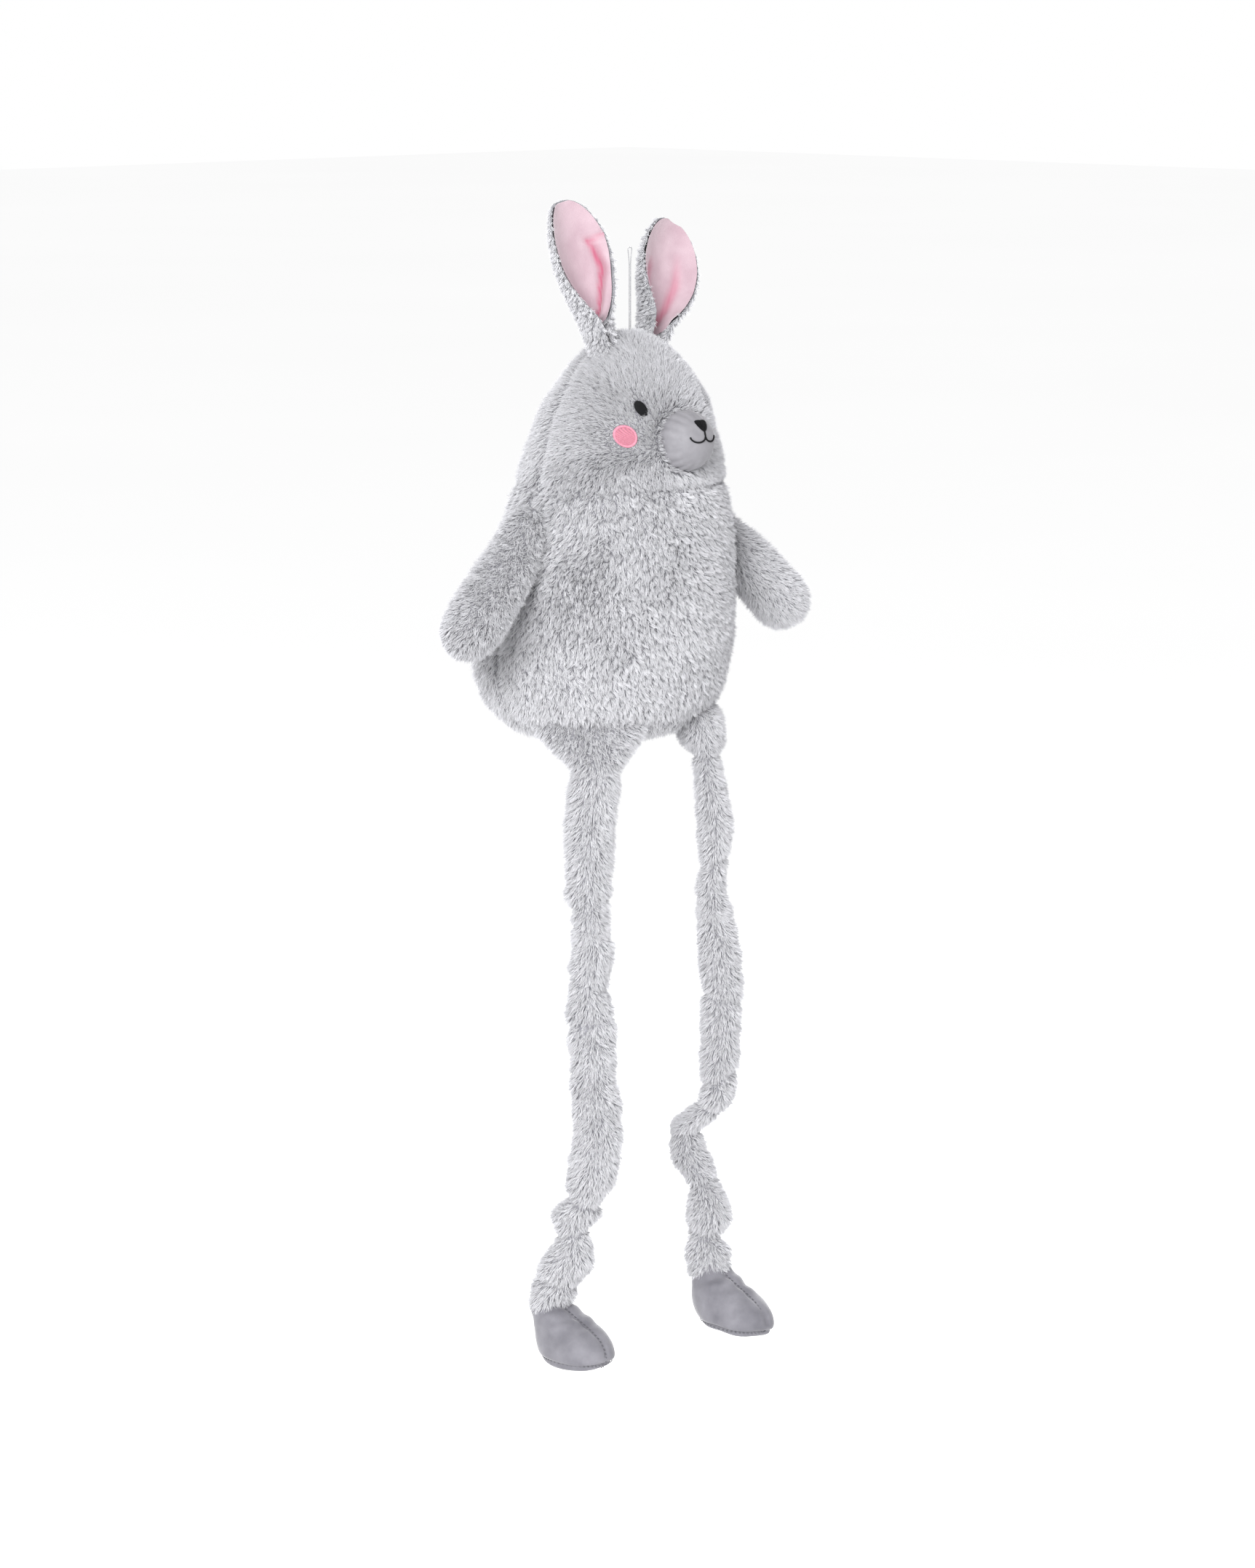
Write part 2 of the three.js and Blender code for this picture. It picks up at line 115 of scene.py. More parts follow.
def mottle_group():
    """A colour that wanders between two others over the surface."""
    group = bpy.data.node_groups.new("mottle", "ShaderNodeTree")
    face = group.interface
    face.new_socket("Scale", in_out="INPUT", socket_type="NodeSocketFloat")
    face.new_socket("Detail", in_out="INPUT", socket_type="NodeSocketFloat")
    face.new_socket("Dark", in_out="INPUT", socket_type="NodeSocketColor")
    face.new_socket("Light", in_out="INPUT", socket_type="NodeSocketColor")
    face.new_socket("Color", in_out="OUTPUT", socket_type="NodeSocketColor")
    given = group.nodes.new("NodeGroupInput").outputs
    spot = group.nodes.new("ShaderNodeTexCoord")
    noise = wire(group, "ShaderNodeTexNoise", Vector=spot.outputs["Object"],
                 Scale=given["Scale"], Detail=given["Detail"])
    share = wire(group, "ShaderNodeMapRange", Value=noise.outputs["Fac"], From_Min=0.3,
                 From_Max=0.7)
    mix = group.nodes.new("ShaderNodeMix")
    mix.data_type = "RGBA"
    group.links.new(share.outputs["Result"], mix.inputs[0])
    group.links.new(given["Dark"], mix.inputs[6])
    group.links.new(given["Light"], mix.inputs[7])
    result = group.nodes.new("NodeGroupOutput")
    group.links.new(mix.outputs[2], result.inputs["Color"])
    return group


MOTTLE = mottle_group()


def mottled(tree, scale, dark, light, detail=3.0):
    """The mottle placed in a material with its own scale and colours."""
    node = tree.nodes.new("ShaderNodeGroup")
    node.node_tree = MOTTLE
    node.inputs["Scale"].default_value = scale
    node.inputs["Detail"].default_value = detail
    node.inputs["Dark"].default_value = (*dark, 1)
    node.inputs["Light"].default_value = (*light, 1)
    return node.outputs["Color"]


nylon, nylon_tree, nylon_surface = shader("nylon_thread", 0.25)
nylon_tree.links.new(mottled(nylon_tree, 900, (0.20, 0.20, 0.21), (0.32, 0.32, 0.33)),
                     nylon_surface.inputs["Base Color"])

loop_route = [(-LOOP_HALF_GAP, HEAD_TOP - 4), (-LOOP_HALF_GAP, 365), (-LOOP_HALF_GAP, 380),
              (-LOOP_HALF_GAP, 395), (-LOOP_HALF_GAP - 0.1, 405)]
loop_centre = LOOP_TOP - THREAD_RADIUS - LOOP_BEND
for step in range(9):
    turn = math.pi - math.pi * step / 8
    loop_route.append((LOOP_BEND * math.cos(turn), loop_centre + LOOP_BEND * math.sin(turn)))
loop_route += [(-x, z) for x, z in reversed(loop_route[:5])]
loop_curve = bpy.data.curves.new("hanging_loop_thread", "CURVE")
loop_curve.dimensions = "3D"
loop_curve.resolution_u = 6
loop_curve.bevel_depth = THREAD_RADIUS * MM
loop_curve.bevel_resolution = 3
loop_curve.use_fill_caps = True
loop_line = loop_curve.splines.new("POLY")


def smooth_line(points, count):
    """Points evenly spaced by length on a Catmull-Rom curve through the given ones."""
    p = np.asarray(points, float)
    ends = np.vstack([2 * p[0] - p[1], p, 2 * p[-1] - p[-2]])
    fine = []
    for i in range(len(p) - 1):
        a, b, c, d = ends[i:i + 4]
        t = np.linspace(0, 1, 24, endpoint=False)[:, None]
        fine.append(0.5 * (2 * b + (c - a) * t + (2 * a - 5 * b + 4 * c - d) * t ** 2
                           + (3 * b - a - 3 * c + d) * t ** 3))
    fine = np.vstack(fine + [p[-1:]])
    run = np.concatenate([[0], np.cumsum(np.linalg.norm(np.diff(fine, axis=0), axis=1))])
    want = np.linspace(0, run[-1], count)
    return np.stack([np.interp(want, run, fine[:, k]) for k in range(p.shape[1])], axis=1)


loop_points = place([(x, 0, z) for x, z in smooth_line(loop_route, 110)])
loop_line.points.add(len(loop_points) - 1)
loop_line.points.foreach_set("co", np.c_[loop_points, np.ones(len(loop_points))].ravel())
loop = bpy.data.objects.new("hanging_loop_thread", loop_curve)
bpy.context.scene.collection.objects.link(loop)
loop_curve.materials.append(nylon)
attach(loop, "torso")
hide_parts("hanging_loop")

# ---------------------------------------------------------------------------------------------
# Head and body: one pear of knitted backing cloth, sewn from head and body panels with a neck
# seam, a seam down each flank and a round seat, and filled tight with fibre over a pellet bag.
# The cloth is modelled first; the pile that hides it is grown from it further down.
# ---------------------------------------------------------------------------------------------
NECK_SEAM = 221.0
SEAT_SEAM = 23.0
WIDTH_RATIO = 1.06
DEPTH_RATIO = 0.93
PILE_HEIGHT = 4.6                 # how far the pile stands off its backing
PROFILE = [(0, 0), (48, 1), (76, 8), (94, 23), (106, 44), (111.5, 68), (113, 92),
           (110.5, 122), (105, 155), (98, 188), (90, 218), (85, 240), (81, 259), (73, 283),
           (58, 308), (38, 332), (19, 345), (0, HEAD_TOP)]
LEAN = [(0, 33), (60, 35), (130, 27), (195, 15), (259, 7), (300, 5), (350, 1)]
profile_line = smooth_line(PROFILE, 240)


def lean_at(z):
    """How far back the middle of the pear lies at a height."""
    return np.interp(z, [a for a, b in LEAN], [b for a, b in LEAN])


def radius_at(z, inset=0.0):
    """The pear's profile radius at a height, drawn in by inset."""
    return np.interp(z, profile_line[:, 1], profile_line[:, 0]) - inset


def lumps(p, size, seed):
    """A soft unevenness, about -1 to 1, at points in millimetres."""
    rng = np.random.default_rng(seed)
    total = np.zeros(len(p))
    for k in range(7):
        way = rng.normal(size=3)
        way *= (0.7 + 0.6 * rng.random()) / np.linalg.norm(way)
        total += np.sin(p @ way * 2 * math.pi / size + rng.random() * 6.283)
    return total / 3.0


def groove(distance, width):
    """1 at a seam and 0 away from it."""
    return np.exp(-(distance / width) ** 2)


def grid_faces(rows, columns, first_pole, last_pole):
    """Quads over closed rings of vertices, with a fan of triangles at each pole."""
    faces = []
    for i in range(rows - 1):
        for j in range(columns):
            k = (j + 1) % columns
            faces.append((i * columns + j, i * columns + k,
                          (i + 1) * columns + k, (i + 1) * columns + j))
    for j in range(columns):
        k = (j + 1) % columns
        faces.append((first_pole, k, j))
        last = (rows - 1) * columns
        faces.append((last_pole, last + j, last + k))
    return faces


def cloth_piece(name, points, faces, material, smooth=True):
    """A closed mesh object from points in metres, with its faces turned outwards."""
    mesh = bpy.data.meshes.new(name)
    mesh.from_pydata([tuple(p) for p in points], [], faces)
    mesh.update()
    corners = np.array([v.co for v in mesh.vertices])
    mesh.calc_loop_triangles()
    volume = 0.0
    for tri in mesh.loop_triangles:
        a, b, c = corners[list(tri.vertices)]
        volume += float(np.dot(a, np.cross(b, c)))
    if volume < 0:
        mesh.flip_normals()
    if smooth:
        mesh.polygons.foreach_set("use_smooth", [True] * len(mesh.polygons))
    mesh.materials.append(material)
    piece = bpy.data.objects.new(name, mesh)
    bpy.context.scene.collection.objects.link(piece)
    return piece


def mark(piece, name, kind, domain, values):
    """Stores a value on every point or face for the pile and the finishes to read."""
    layer = piece.data.attributes.new(name, kind, domain)
    field = "vector" if kind == "FLOAT_VECTOR" else "value"
    layer.data.foreach_set(field, np.asarray(values).ravel())


backing, backing_tree, backing_surface = shader("backing_cloth", 0.95)
backing_tree.links.new(mottled(backing_tree, 260, (0.14, 0.14, 0.155), (0.20, 0.20, 0.22)),
                       backing_surface.inputs["Base Color"])

TORSO_ROWS = 128
TORSO_COLUMNS = 176
torso_profile = smooth_line(PROFILE, TORSO_ROWS + 2)
torso_way = np.gradient(torso_profile, axis=0)
torso_way /= np.linalg.norm(torso_way, axis=1)[:, None]
torso_angles = np.arange(TORSO_COLUMNS) * 2 * math.pi / TORSO_COLUMNS
FACE_Z = 260.0
MUZZLE_Y = -64.5
EYE_ANGLES = {"right": 0.525, "left": 0.63}
EYE_Z = 288.0
EYE_SIZE = (5.2, 6.5)
CHEEK_ANGLES = {"right": 0.705, "left": 0.84}
CHEEK_Z = 266.0
CHEEK_RADIUS = 10.2


def head_spot(angle, z, inset=0.0):
    """A point on the front of the head at an angle from its middle."""
    r = radius_at(z, inset)
    return np.array([WIDTH_RATIO * r * math.sin(angle),
                     lean_at(z) - DEPTH_RATIO * r * math.cos(angle), z])


def torso_points():
    """The backing cloth's points with its seams drawn in, and how the pile lies on it."""
    points, lay, pile = [], [], []
    for row in range(1, TORSO_ROWS + 1):
        r, z = torso_profile[row]
        tangent = torso_way[row]
        ring_r = r - PILE_HEIGHT * tangent[1]
        ring_z = z + PILE_HEIGHT * tangent[0]
        x = WIDTH_RATIO * ring_r * np.cos(torso_angles)
        y = lean_at(z) + DEPTH_RATIO * ring_r * np.sin(torso_angles)
        ring = np.stack([x, y, np.full_like(x, ring_z)], axis=1)
        points.append(ring)
        down = np.stack([-WIDTH_RATIO * tangent[0] * np.cos(torso_angles),
                         -DEPTH_RATIO * tangent[0] * np.sin(torso_angles),
                         np.full_like(x, -tangent[1])], axis=1)
        lay.append(down)
    points, lay = np.vstack(points), np.vstack(lay)
    out = points - np.c_[np.zeros(len(points)), lean_at(points[:, 2]), points[:, 2]]
    out /= np.linalg.norm(out, axis=1)[:, None] + 1e-9
    flank = np.abs(points[:, 1] - lean_at(points[:, 2]) - 9)
    seams = (2.6 * groove(points[:, 2] - NECK_SEAM, 4.5) + 2.4 * groove(flank, 5)
             * (points[:, 2] > SEAT_SEAM) + 2.0 * groove(points[:, 2] - SEAT_SEAM, 4.5))
    crown = np.clip((points[:, 2] - 325) / 20, 0, 1)
    shift = lumps(points, 95, 3) * 1.3 + lumps(points, 38, 4) * 0.5 - seams * (1 - crown)
    points = points + out * shift[:, None]
    swirl = np.stack([lumps(points, 70, 11), lumps(points, 70, 12), lumps(points, 70, 13)], axis=1)
    muzzle = np.array([0, MUZZLE_Y, FACE_Z])
    away = points - muzzle
    reach = np.linalg.norm(away, axis=1)
    from_nose = away / (reach[:, None] + 1e-6)
    on_face = np.clip((points[:, 2] - 222) / 40, 0, 1) * np.clip(
        0.5 - (points[:, 1] - lean_at(points[:, 2])) / 60, 0, 1)
    lay = lay * (1 - on_face)[:, None] + 1.1 * from_nose * on_face[:, None] + 0.3 * swirl
    front = points[:, 1] < lean_at(points[:, 2])
    snout = np.hypot(points[:, 0] / 23.0, (points[:, 2] - FACE_Z) / 22.5)
    rim = (np.exp(-((snout - 1) / 0.22) ** 2) * front)[:, None]
    lay = lay * (1 - rim) + (out - 0.6 * from_nose) * rim
    pile = 1 - 0.32 * groove(points[:, 2] - NECK_SEAM, 3.0)
    pile -= 0.45 * groove(flank, 3.0) * (1 - crown)
    pile *= np.where(front, np.clip((snout - 0.82) * 9, 0, 1)
                     * (0.75 + 0.25 * np.clip((snout - 1) * 4, 0, 1)), 1)
    for side, word in ((-1, "right"), (1, "left")):
        for angle, z, wide, tall in ((EYE_ANGLES[word], EYE_Z, *EYE_SIZE),
                                     (CHEEK_ANGLES[word], CHEEK_Z, CHEEK_RADIUS,
                                      CHEEK_RADIUS * 0.9)):
            spot = head_spot(side * angle, z, PILE_HEIGHT)
            gap = points - spot
            around = np.array([math.cos(angle), side * math.sin(angle), 0])
            beside = np.hypot((gap @ around) / wide, gap[:, 2] / tall)
            near = np.linalg.norm(gap, axis=1) < 34
            short = 0.4 + 0.6 * np.clip((beside - 1.1) / 0.9, 0, 1)
            pile *= np.where(near, np.clip((beside - 0.86) * 8, 0, 1) * short, 1)
    return points, lay, pile


torso_grid, torso_lay, torso_pile = torso_points()
seat_pole = np.array([[0, lean_at(0), PILE_HEIGHT]])
crown_pole = np.array([[0, lean_at(HEAD_TOP), HEAD_TOP - PILE_HEIGHT]])
torso_all = np.vstack([torso_grid, seat_pole, crown_pole])
torso_faces = grid_faces(TORSO_ROWS, TORSO_COLUMNS, len(torso_grid), len(torso_grid) + 1)
torso_cloth = cloth_piece("torso_backing_cloth", place(torso_all), torso_faces, backing)
mark(torso_cloth, "lay", "FLOAT_VECTOR", "POINT", np.vstack([torso_lay, [[0, 0, -1], [0, 1, 0]]]))
mark(torso_cloth, "pile", "FLOAT", "POINT", np.concatenate([torso_pile, [1, 1]]))


def torso_panel(centre):
    """The number of the sewn panel that a face belongs to."""
    x, y, z = centre
    front = y < lean_at(z) + 9
    if z < SEAT_SEAM:
        return 0
    if z > NECK_SEAM:
        return 1 if front else 2
    return (3 if x < 0 else 4) if front else (5 if x < 0 else 6)


mark(torso_cloth, "panel", "INT", "FACE",
     [torso_panel(np.mean(torso_all[list(f)], axis=0)) for f in torso_faces])
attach(torso_cloth, "torso")
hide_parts("head_stuffing", "body_stuffing", "pellet_bag")

# ---------------------------------------------------------------------------------------------
# Pile: each panel's knitted plush, 7 mm polyester fibres that stand out of the backing, lean
# the way they were brushed and gather in tufts. The yarn is coloured dark grey at the root and
# nearly white at the tip; the dark root is painted shade, for the shadow deep in the pile.
# ---------------------------------------------------------------------------------------------
PILE_LENGTH = 7.6
PILE_WIDTH = 0.34
TUFT_SPACING = 2.1


def frosted(name, root, middle, tip):
    """Plush yarn that pales from root to tip, its dark root painted shade deep in the pile, with
    every tuft a little different.
    """
    material, tree, surface = shader(name, 0.85)
    along = wire(tree, "ShaderNodeAttribute")
    along.attribute_name = "tip"
    ramp = wire(tree, "ShaderNodeValToRGB", Fac=along.outputs["Fac"])
    # the root colour is painted shade: the shadow down between the fibres and tufts
    ramp.color_ramp.elements[0].color = (*root, 1)
    ramp.color_ramp.elements[1].color = (*tip, 1)
    ramp.color_ramp.elements.new(0.34).color = (*middle, 1)
    tone = wire(tree, "ShaderNodeAttribute")
    tone.attribute_name = "tone"
    spread = wire(tree, "ShaderNodeMapRange", Value=tone.outputs["Fac"])
    spread.inputs["To Min"].default_value = 0.9
    spread.inputs["To Max"].default_value = 1.08
    mixed = wire(tree, "ShaderNodeVectorMath")
    mixed.operation = "SCALE"
    tree.links.new(ramp.outputs["Color"], mixed.inputs[0])
    tree.links.new(spread.outputs["Result"], mixed.inputs["Scale"])
    tree.links.new(mixed.outputs[0], surface.inputs["Base Color"])
    surface.inputs["Sheen Weight"].default_value = 0.35
    surface.inputs["Sheen Roughness"].default_value = 0.4
    return material


# root colour: painted shade deep in the pile; middle and tip: the yarn's grey
plush_pile = frosted("grey_pile_painted_root_shade", (0.115, 0.115, 0.127), (0.46, 0.46, 0.48),
                     (0.60, 0.60, 0.625))


def knot(tree, kind, settings=(), **inputs):
    """A geometry node with settings and inputs; spaces in input names are underscores."""
    node = tree.nodes.new(kind)
    for name, value in dict(settings).items():
        setattr(node, name, value)
    for name, value in inputs.items():
        sockets = [s for s in node.inputs if s.name == name.replace("_", " ") and s.enabled]
        if isinstance(value, bpy.types.NodeSocket):
            tree.links.new(value, sockets[0])
        else:
            sockets[0].default_value = value
    return node


def maths(tree, operation, *values):
    """The result of a number operation on sockets or plain numbers."""
    node = tree.nodes.new("ShaderNodeMath")
    node.operation = operation
    for socket, value in zip(node.inputs, values):
        if isinstance(value, bpy.types.NodeSocket):
            tree.links.new(value, socket)
        else:
            socket.default_value = value
    return node.outputs[0]


def vectors(tree, operation, *values, scale=None):
    """The result of a vector operation on sockets or plain vectors."""
    node = tree.nodes.new("ShaderNodeVectorMath")
    node.operation = operation
    for socket, value in zip(node.inputs, values):
        if isinstance(value, bpy.types.NodeSocket):
            tree.links.new(value, socket)
        else:
            socket.default_value = value
    if scale is not None:
        if isinstance(scale, bpy.types.NodeSocket):
            tree.links.new(scale, node.inputs["Scale"])
        else:
            node.inputs["Scale"].default_value = scale
    return node.outputs["Value"] if operation == "LENGTH" else node.outputs["Vector"]


def read(tree, name, kind):
    """A value that mark() stored on the cloth."""
    node = knot(tree, "GeometryNodeInputNamedAttribute", {"data_type": kind}, Name=name)
    return node.outputs["Attribute"]


def chance(tree, low, high, seed, kind="FLOAT"):
    """A seeded random value between two limits."""
    node = knot(tree, "FunctionNodeRandomValue", {"data_type": kind}, Min=low, Max=high)
    tree.links.new(seed, node.inputs["Seed"])
    return [s for s in node.outputs if s.enabled][0]


def pile_tree():
    """Grows spikes of pile on one panel of a cloth, gathered towards the tips of its tufts."""
    tree = bpy.data.node_groups.new("pile", "GeometryNodeTree")
    face = tree.interface
    face.new_socket("Cloth", in_out="INPUT", socket_type="NodeSocketGeometry")
    face.new_socket("Panel", in_out="INPUT", socket_type="NodeSocketInt")
    for name in ("Density", "Length", "Width", "Lean", "Stray", "Tuft Spacing", "Tuft Pull"):
        face.new_socket(name, in_out="INPUT", socket_type="NodeSocketFloat")
    face.new_socket("Seed", in_out="INPUT", socket_type="NodeSocketInt")
    face.new_socket("Yarn", in_out="INPUT", socket_type="NodeSocketMaterial")
    face.new_socket("Pile", in_out="OUTPUT", socket_type="NodeSocketGeometry")
    given = tree.nodes.new("NodeGroupInput").outputs
    mine = knot(tree, "FunctionNodeCompare", {"data_type": "INT", "operation": "EQUAL"},
                A=read(tree, "panel", "INT"), B=given["Panel"]).outputs["Result"]
    pile = read(tree, "pile", "FLOAT")
    lay = vectors(tree, "NORMALIZE", read(tree, "lay", "FLOAT_VECTOR"))
    thick = maths(tree, "MINIMUM", maths(tree, "MULTIPLY", pile, 8.0), 1.0)
    roots = knot(tree, "GeometryNodeDistributePointsOnFaces", {}, Mesh=given["Cloth"],
                 Selection=mine, Density=maths(tree, "MULTIPLY", given["Density"], thick),
                 Seed=given["Seed"])
    tufts = knot(tree, "GeometryNodeDistributePointsOnFaces", {"distribute_method": "POISSON"},
                 Mesh=given["Cloth"], Selection=mine, Distance_Min=given["Tuft Spacing"],
                 Density_Max=260000.0, Seed=maths(tree, "ADD", given["Seed"], 7.0))

    def growth(source, stray, salt):
        """How a fibre would stand on its own, from its root to its tip."""
        out = vectors(tree, "SCALE", source.outputs["Normal"],
                      scale=maths(tree, "SUBTRACT", 1.0, given["Lean"]))
        along = vectors(tree, "SCALE", lay, scale=given["Lean"])
        seed = maths(tree, "ADD", given["Seed"], salt)
        wild = vectors(tree, "SCALE", chance(tree, (-1, -1, -1), (1, 1, 1), seed, "FLOAT_VECTOR"),
                       scale=stray)
        way = vectors(tree, "NORMALIZE", vectors(tree, "ADD", vectors(tree, "ADD", out, along),
                                                 wild))
        reach = maths(tree, "MULTIPLY", maths(tree, "MULTIPLY", given["Length"], pile),
                      chance(tree, 0.8, 1.15, maths(tree, "ADD", seed, 3.0)))
        return vectors(tree, "SCALE", way, scale=reach)

    here = tree.nodes.new("GeometryNodeInputPosition").outputs[0]
    nearest = knot(tree, "GeometryNodeSampleNearest", {}, Geometry=tufts.outputs["Points"])

    def from_tuft(value, kind):
        """A value taken from the tuft nearest to the fibre."""
        node = knot(tree, "GeometryNodeSampleIndex", {"data_type": kind},
                    Geometry=tufts.outputs["Points"], Value=value, Index=nearest.outputs["Index"])
        return node.outputs["Value"]

    tuft_tip = vectors(tree, "ADD", from_tuft(here, "FLOAT_VECTOR"),
                       from_tuft(growth(tufts, given["Stray"], 11.0), "FLOAT_VECTOR"))
    own_stray = maths(tree, "MULTIPLY", given["Stray"], 1.6)
    own_tip = vectors(tree, "ADD", here, growth(roots, own_stray, 23.0))
    pull = maths(tree, "MULTIPLY", given["Tuft Pull"],
                 chance(tree, 0.55, 1.2, maths(tree, "ADD", given["Seed"], 31.0)))
    tip = knot(tree, "ShaderNodeMix", {"data_type": "VECTOR"})
    sockets = [s for s in tip.inputs if s.enabled]
    tree.links.new(pull, sockets[0])
    tree.links.new(own_tip, sockets[1])
    tree.links.new(tuft_tip, sockets[2])
    mixed_tip = [s for s in tip.outputs if s.enabled][0]
    fibre = vectors(tree, "SUBTRACT", mixed_tip, here)
    reach = maths(tree, "MINIMUM", vectors(tree, "LENGTH", fibre),
                  maths(tree, "MULTIPLY", given["Length"], 1.25))
    spike = knot(tree, "GeometryNodeMeshCone", {"fill_type": "NGON"}, Vertices=3,
                 Side_Segments=1, Radius_Top=0.0, Radius_Bottom=1.0, Depth=1.0)
    height = knot(tree, "ShaderNodeSeparateXYZ", {}, Vector=here).outputs["Z"]
    marked = knot(tree, "GeometryNodeStoreNamedAttribute", {"data_type": "FLOAT"},
                  Geometry=spike.outputs["Mesh"], Name="tip", Value=height)
    size = knot(tree, "ShaderNodeCombineXYZ", {}, X=given["Width"], Y=given["Width"], Z=reach)
    turn = knot(tree, "FunctionNodeAlignRotationToVector", {"axis": "Z"}, Vector=fibre)
    grown = knot(tree, "GeometryNodeInstanceOnPoints", {}, Points=roots.outputs["Points"],
                 Instance=marked.outputs["Geometry"], Rotation=turn.outputs["Rotation"],
                 Scale=size.outputs["Vector"])
    tuft_tone = from_tuft(chance(tree, 0.0, 1.0, maths(tree, "ADD", given["Seed"], 41.0)),
                          "FLOAT")
    own_tone = chance(tree, 0.0, 1.0, maths(tree, "ADD", given["Seed"], 43.0))
    tone = maths(tree, "ADD", maths(tree, "MULTIPLY", tuft_tone, 0.6),
                 maths(tree, "MULTIPLY", own_tone, 0.4))
    toned = knot(tree, "GeometryNodeStoreNamedAttribute",
                 {"data_type": "FLOAT", "domain": "INSTANCE"},
                 Geometry=grown.outputs["Instances"], Name="tone", Value=tone)
    real = knot(tree, "GeometryNodeRealizeInstances", {}, Geometry=toned.outputs["Geometry"])
    dressed = knot(tree, "GeometryNodeSetMaterial", {}, Geometry=real.outputs["Geometry"],
                   Material=given["Yarn"])
    result = tree.nodes.new("NodeGroupOutput")
    tree.links.new(dressed.outputs["Geometry"], result.inputs["Pile"])
    return tree


PILE_TREE = pile_tree()


def apply_tree(name, source, tree, values):
    """Runs a geometry tree on a copy of a piece's mesh and keeps the result as a new piece."""
    holder = bpy.data.objects.new(name + "_ground", source.data)
    bpy.context.scene.collection.objects.link(holder)
    modifier = holder.modifiers.new("tree", "NODES")
    modifier.node_group = tree
    named = {s.name: s.identifier for s in tree.interface.items_tree if s.in_out == "INPUT"}
    for key, value in values.items():
        modifier[named[key]] = value
    bpy.context.view_layer.update()
    graph = bpy.context.evaluated_depsgraph_get()
    mesh = bpy.data.meshes.new_from_object(holder.evaluated_get(graph), depsgraph=graph)
    bpy.data.objects.remove(holder)
    mesh.name = name
    piece = bpy.data.objects.new(name, mesh)
    bpy.context.scene.collection.objects.link(piece)
    return piece


def grow(name, cloth, panel, density, seed, length=PILE_LENGTH, lean=0.58, stray=0.38,
         spacing=TUFT_SPACING, pull=0.62):
    """The pile of one panel: density is in fibres to the square millimetre."""
    piece = apply_tree(name, cloth, PILE_TREE, {
        "Panel": panel, "Density": density * 1e6, "Length": length * MM,
        "Width": PILE_WIDTH * MM, "Lean": lean, "Stray": stray, "Tuft Spacing": spacing * MM,
        "Tuft Pull": pull, "Seed": seed, "Yarn": plush_pile})
    return piece


FEWER = 1.0
head_look = {"stray": 0.31, "pull": 0.58, "spacing": 2.1}
body_look = {"stray": 0.42, "pull": 0.74, "spacing": 2.55}
torso_pile_pieces = [
    ("seat_pile", 0, 0.5, body_look, ["seat_panel"]),
    ("head_front_pile", 1, 1.72, head_look, ["head_front_panel"]),
    ("head_back_pile", 2, 1.0, head_look, ["head_back_panel"]),
    ("body_front_right_pile", 3, 1.35, body_look, ["body_front_panel"]),
    ("body_front_left_pile", 4, 1.2, body_look, []),
    ("body_back_right_pile", 5, 0.95, body_look, ["body_back_panel"]),
    ("body_back_left_pile", 6, 0.85, body_look, []),
]
for name, panel, density, look, nodes in torso_pile_pieces:
    pile_piece = grow(name, torso_cloth, panel, density * FEWER, seed=100 + panel, **look)
    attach(pile_piece, "torso")
    if nodes:
        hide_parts(*nodes)

# ---------------------------------------------------------------------------------------------
# Muzzle: a disc of smooth velvet drawn over a ball of filling and sewn to the front of the
# head, which puckers it a little all round the seam.
# ---------------------------------------------------------------------------------------------
MUZZLE_SIZE = (25.8, 24.0, 25.8)


def nap_group():
    """The height of a velvet's short nap, from a fine noise."""
    group = bpy.data.node_groups.new("nap", "ShaderNodeTree")
    group.interface.new_socket("Fineness", in_out="INPUT", socket_type="NodeSocketFloat")
    group.interface.new_socket("Height", in_out="OUTPUT", socket_type="NodeSocketFloat")
    given = group.nodes.new("NodeGroupInput").outputs
    spot = group.nodes.new("ShaderNodeTexCoord")
    noise = wire(group, "ShaderNodeTexNoise", Vector=spot.outputs["Object"],
                 Scale=given["Fineness"], Detail=2.0)
    result = group.nodes.new("NodeGroupOutput")
    group.links.new(noise.outputs["Fac"], result.inputs["Height"])
    return group


NAP = nap_group()


def napped(tree, surface, fineness):
    """Gives a material the nap as a shallow bump."""
    node = tree.nodes.new("ShaderNodeGroup")
    node.node_tree = NAP
    node.inputs["Fineness"].default_value = fineness
    bump = wire(tree, "ShaderNodeBump", Height=node.outputs["Height"], Strength=0.35,
                Distance=0.0004)
    tree.links.new(bump.outputs["Normal"], surface.inputs["Normal"])


def velvet(name, low, high, scale=45.0, sheen=0.5):
    """Short velvet: a soft mottle of painted sheen, lighter where the nap brushed both ways
    catches the light, and a fine nap bump.
    """
    material, tree, surface = shader(name, 0.8)
    tree.links.new(mottled(tree, scale, low, high, 4.0), surface.inputs["Base Color"])
    napped(tree, surface, 1600.0)
    surface.inputs["Sheen Weight"].default_value = sheen
    surface.inputs["Sheen Roughness"].default_value = 0.35
    return material


# the mottle is painted sheen: lighter patches where the velvet nap catches the light
muzzle_velvet = velvet("muzzle_velvet", (0.153, 0.150, 0.163), (0.182, 0.179, 0.193), 130.0,
                       0.15)


def dome_points(size, centre, rows, columns, shift):
    """Rings over the front of an ellipsoid, from its middle out and round to the back."""
    rings = []
    for i in range(1, rows + 1):
        open_angle = i / rows * math.radians(104)
        turn = np.arange(columns) * 2 * math.pi / columns
        d = np.stack([np.sin(open_angle) * np.cos(turn), np.full(columns, -math.cos(open_angle)),
                      np.sin(open_angle) * np.sin(turn)], axis=1)
        p = d * np.array(size) + np.array(centre)
        rings.append(p + d * shift(open_angle, turn)[:, None])
    return np.vstack(rings)


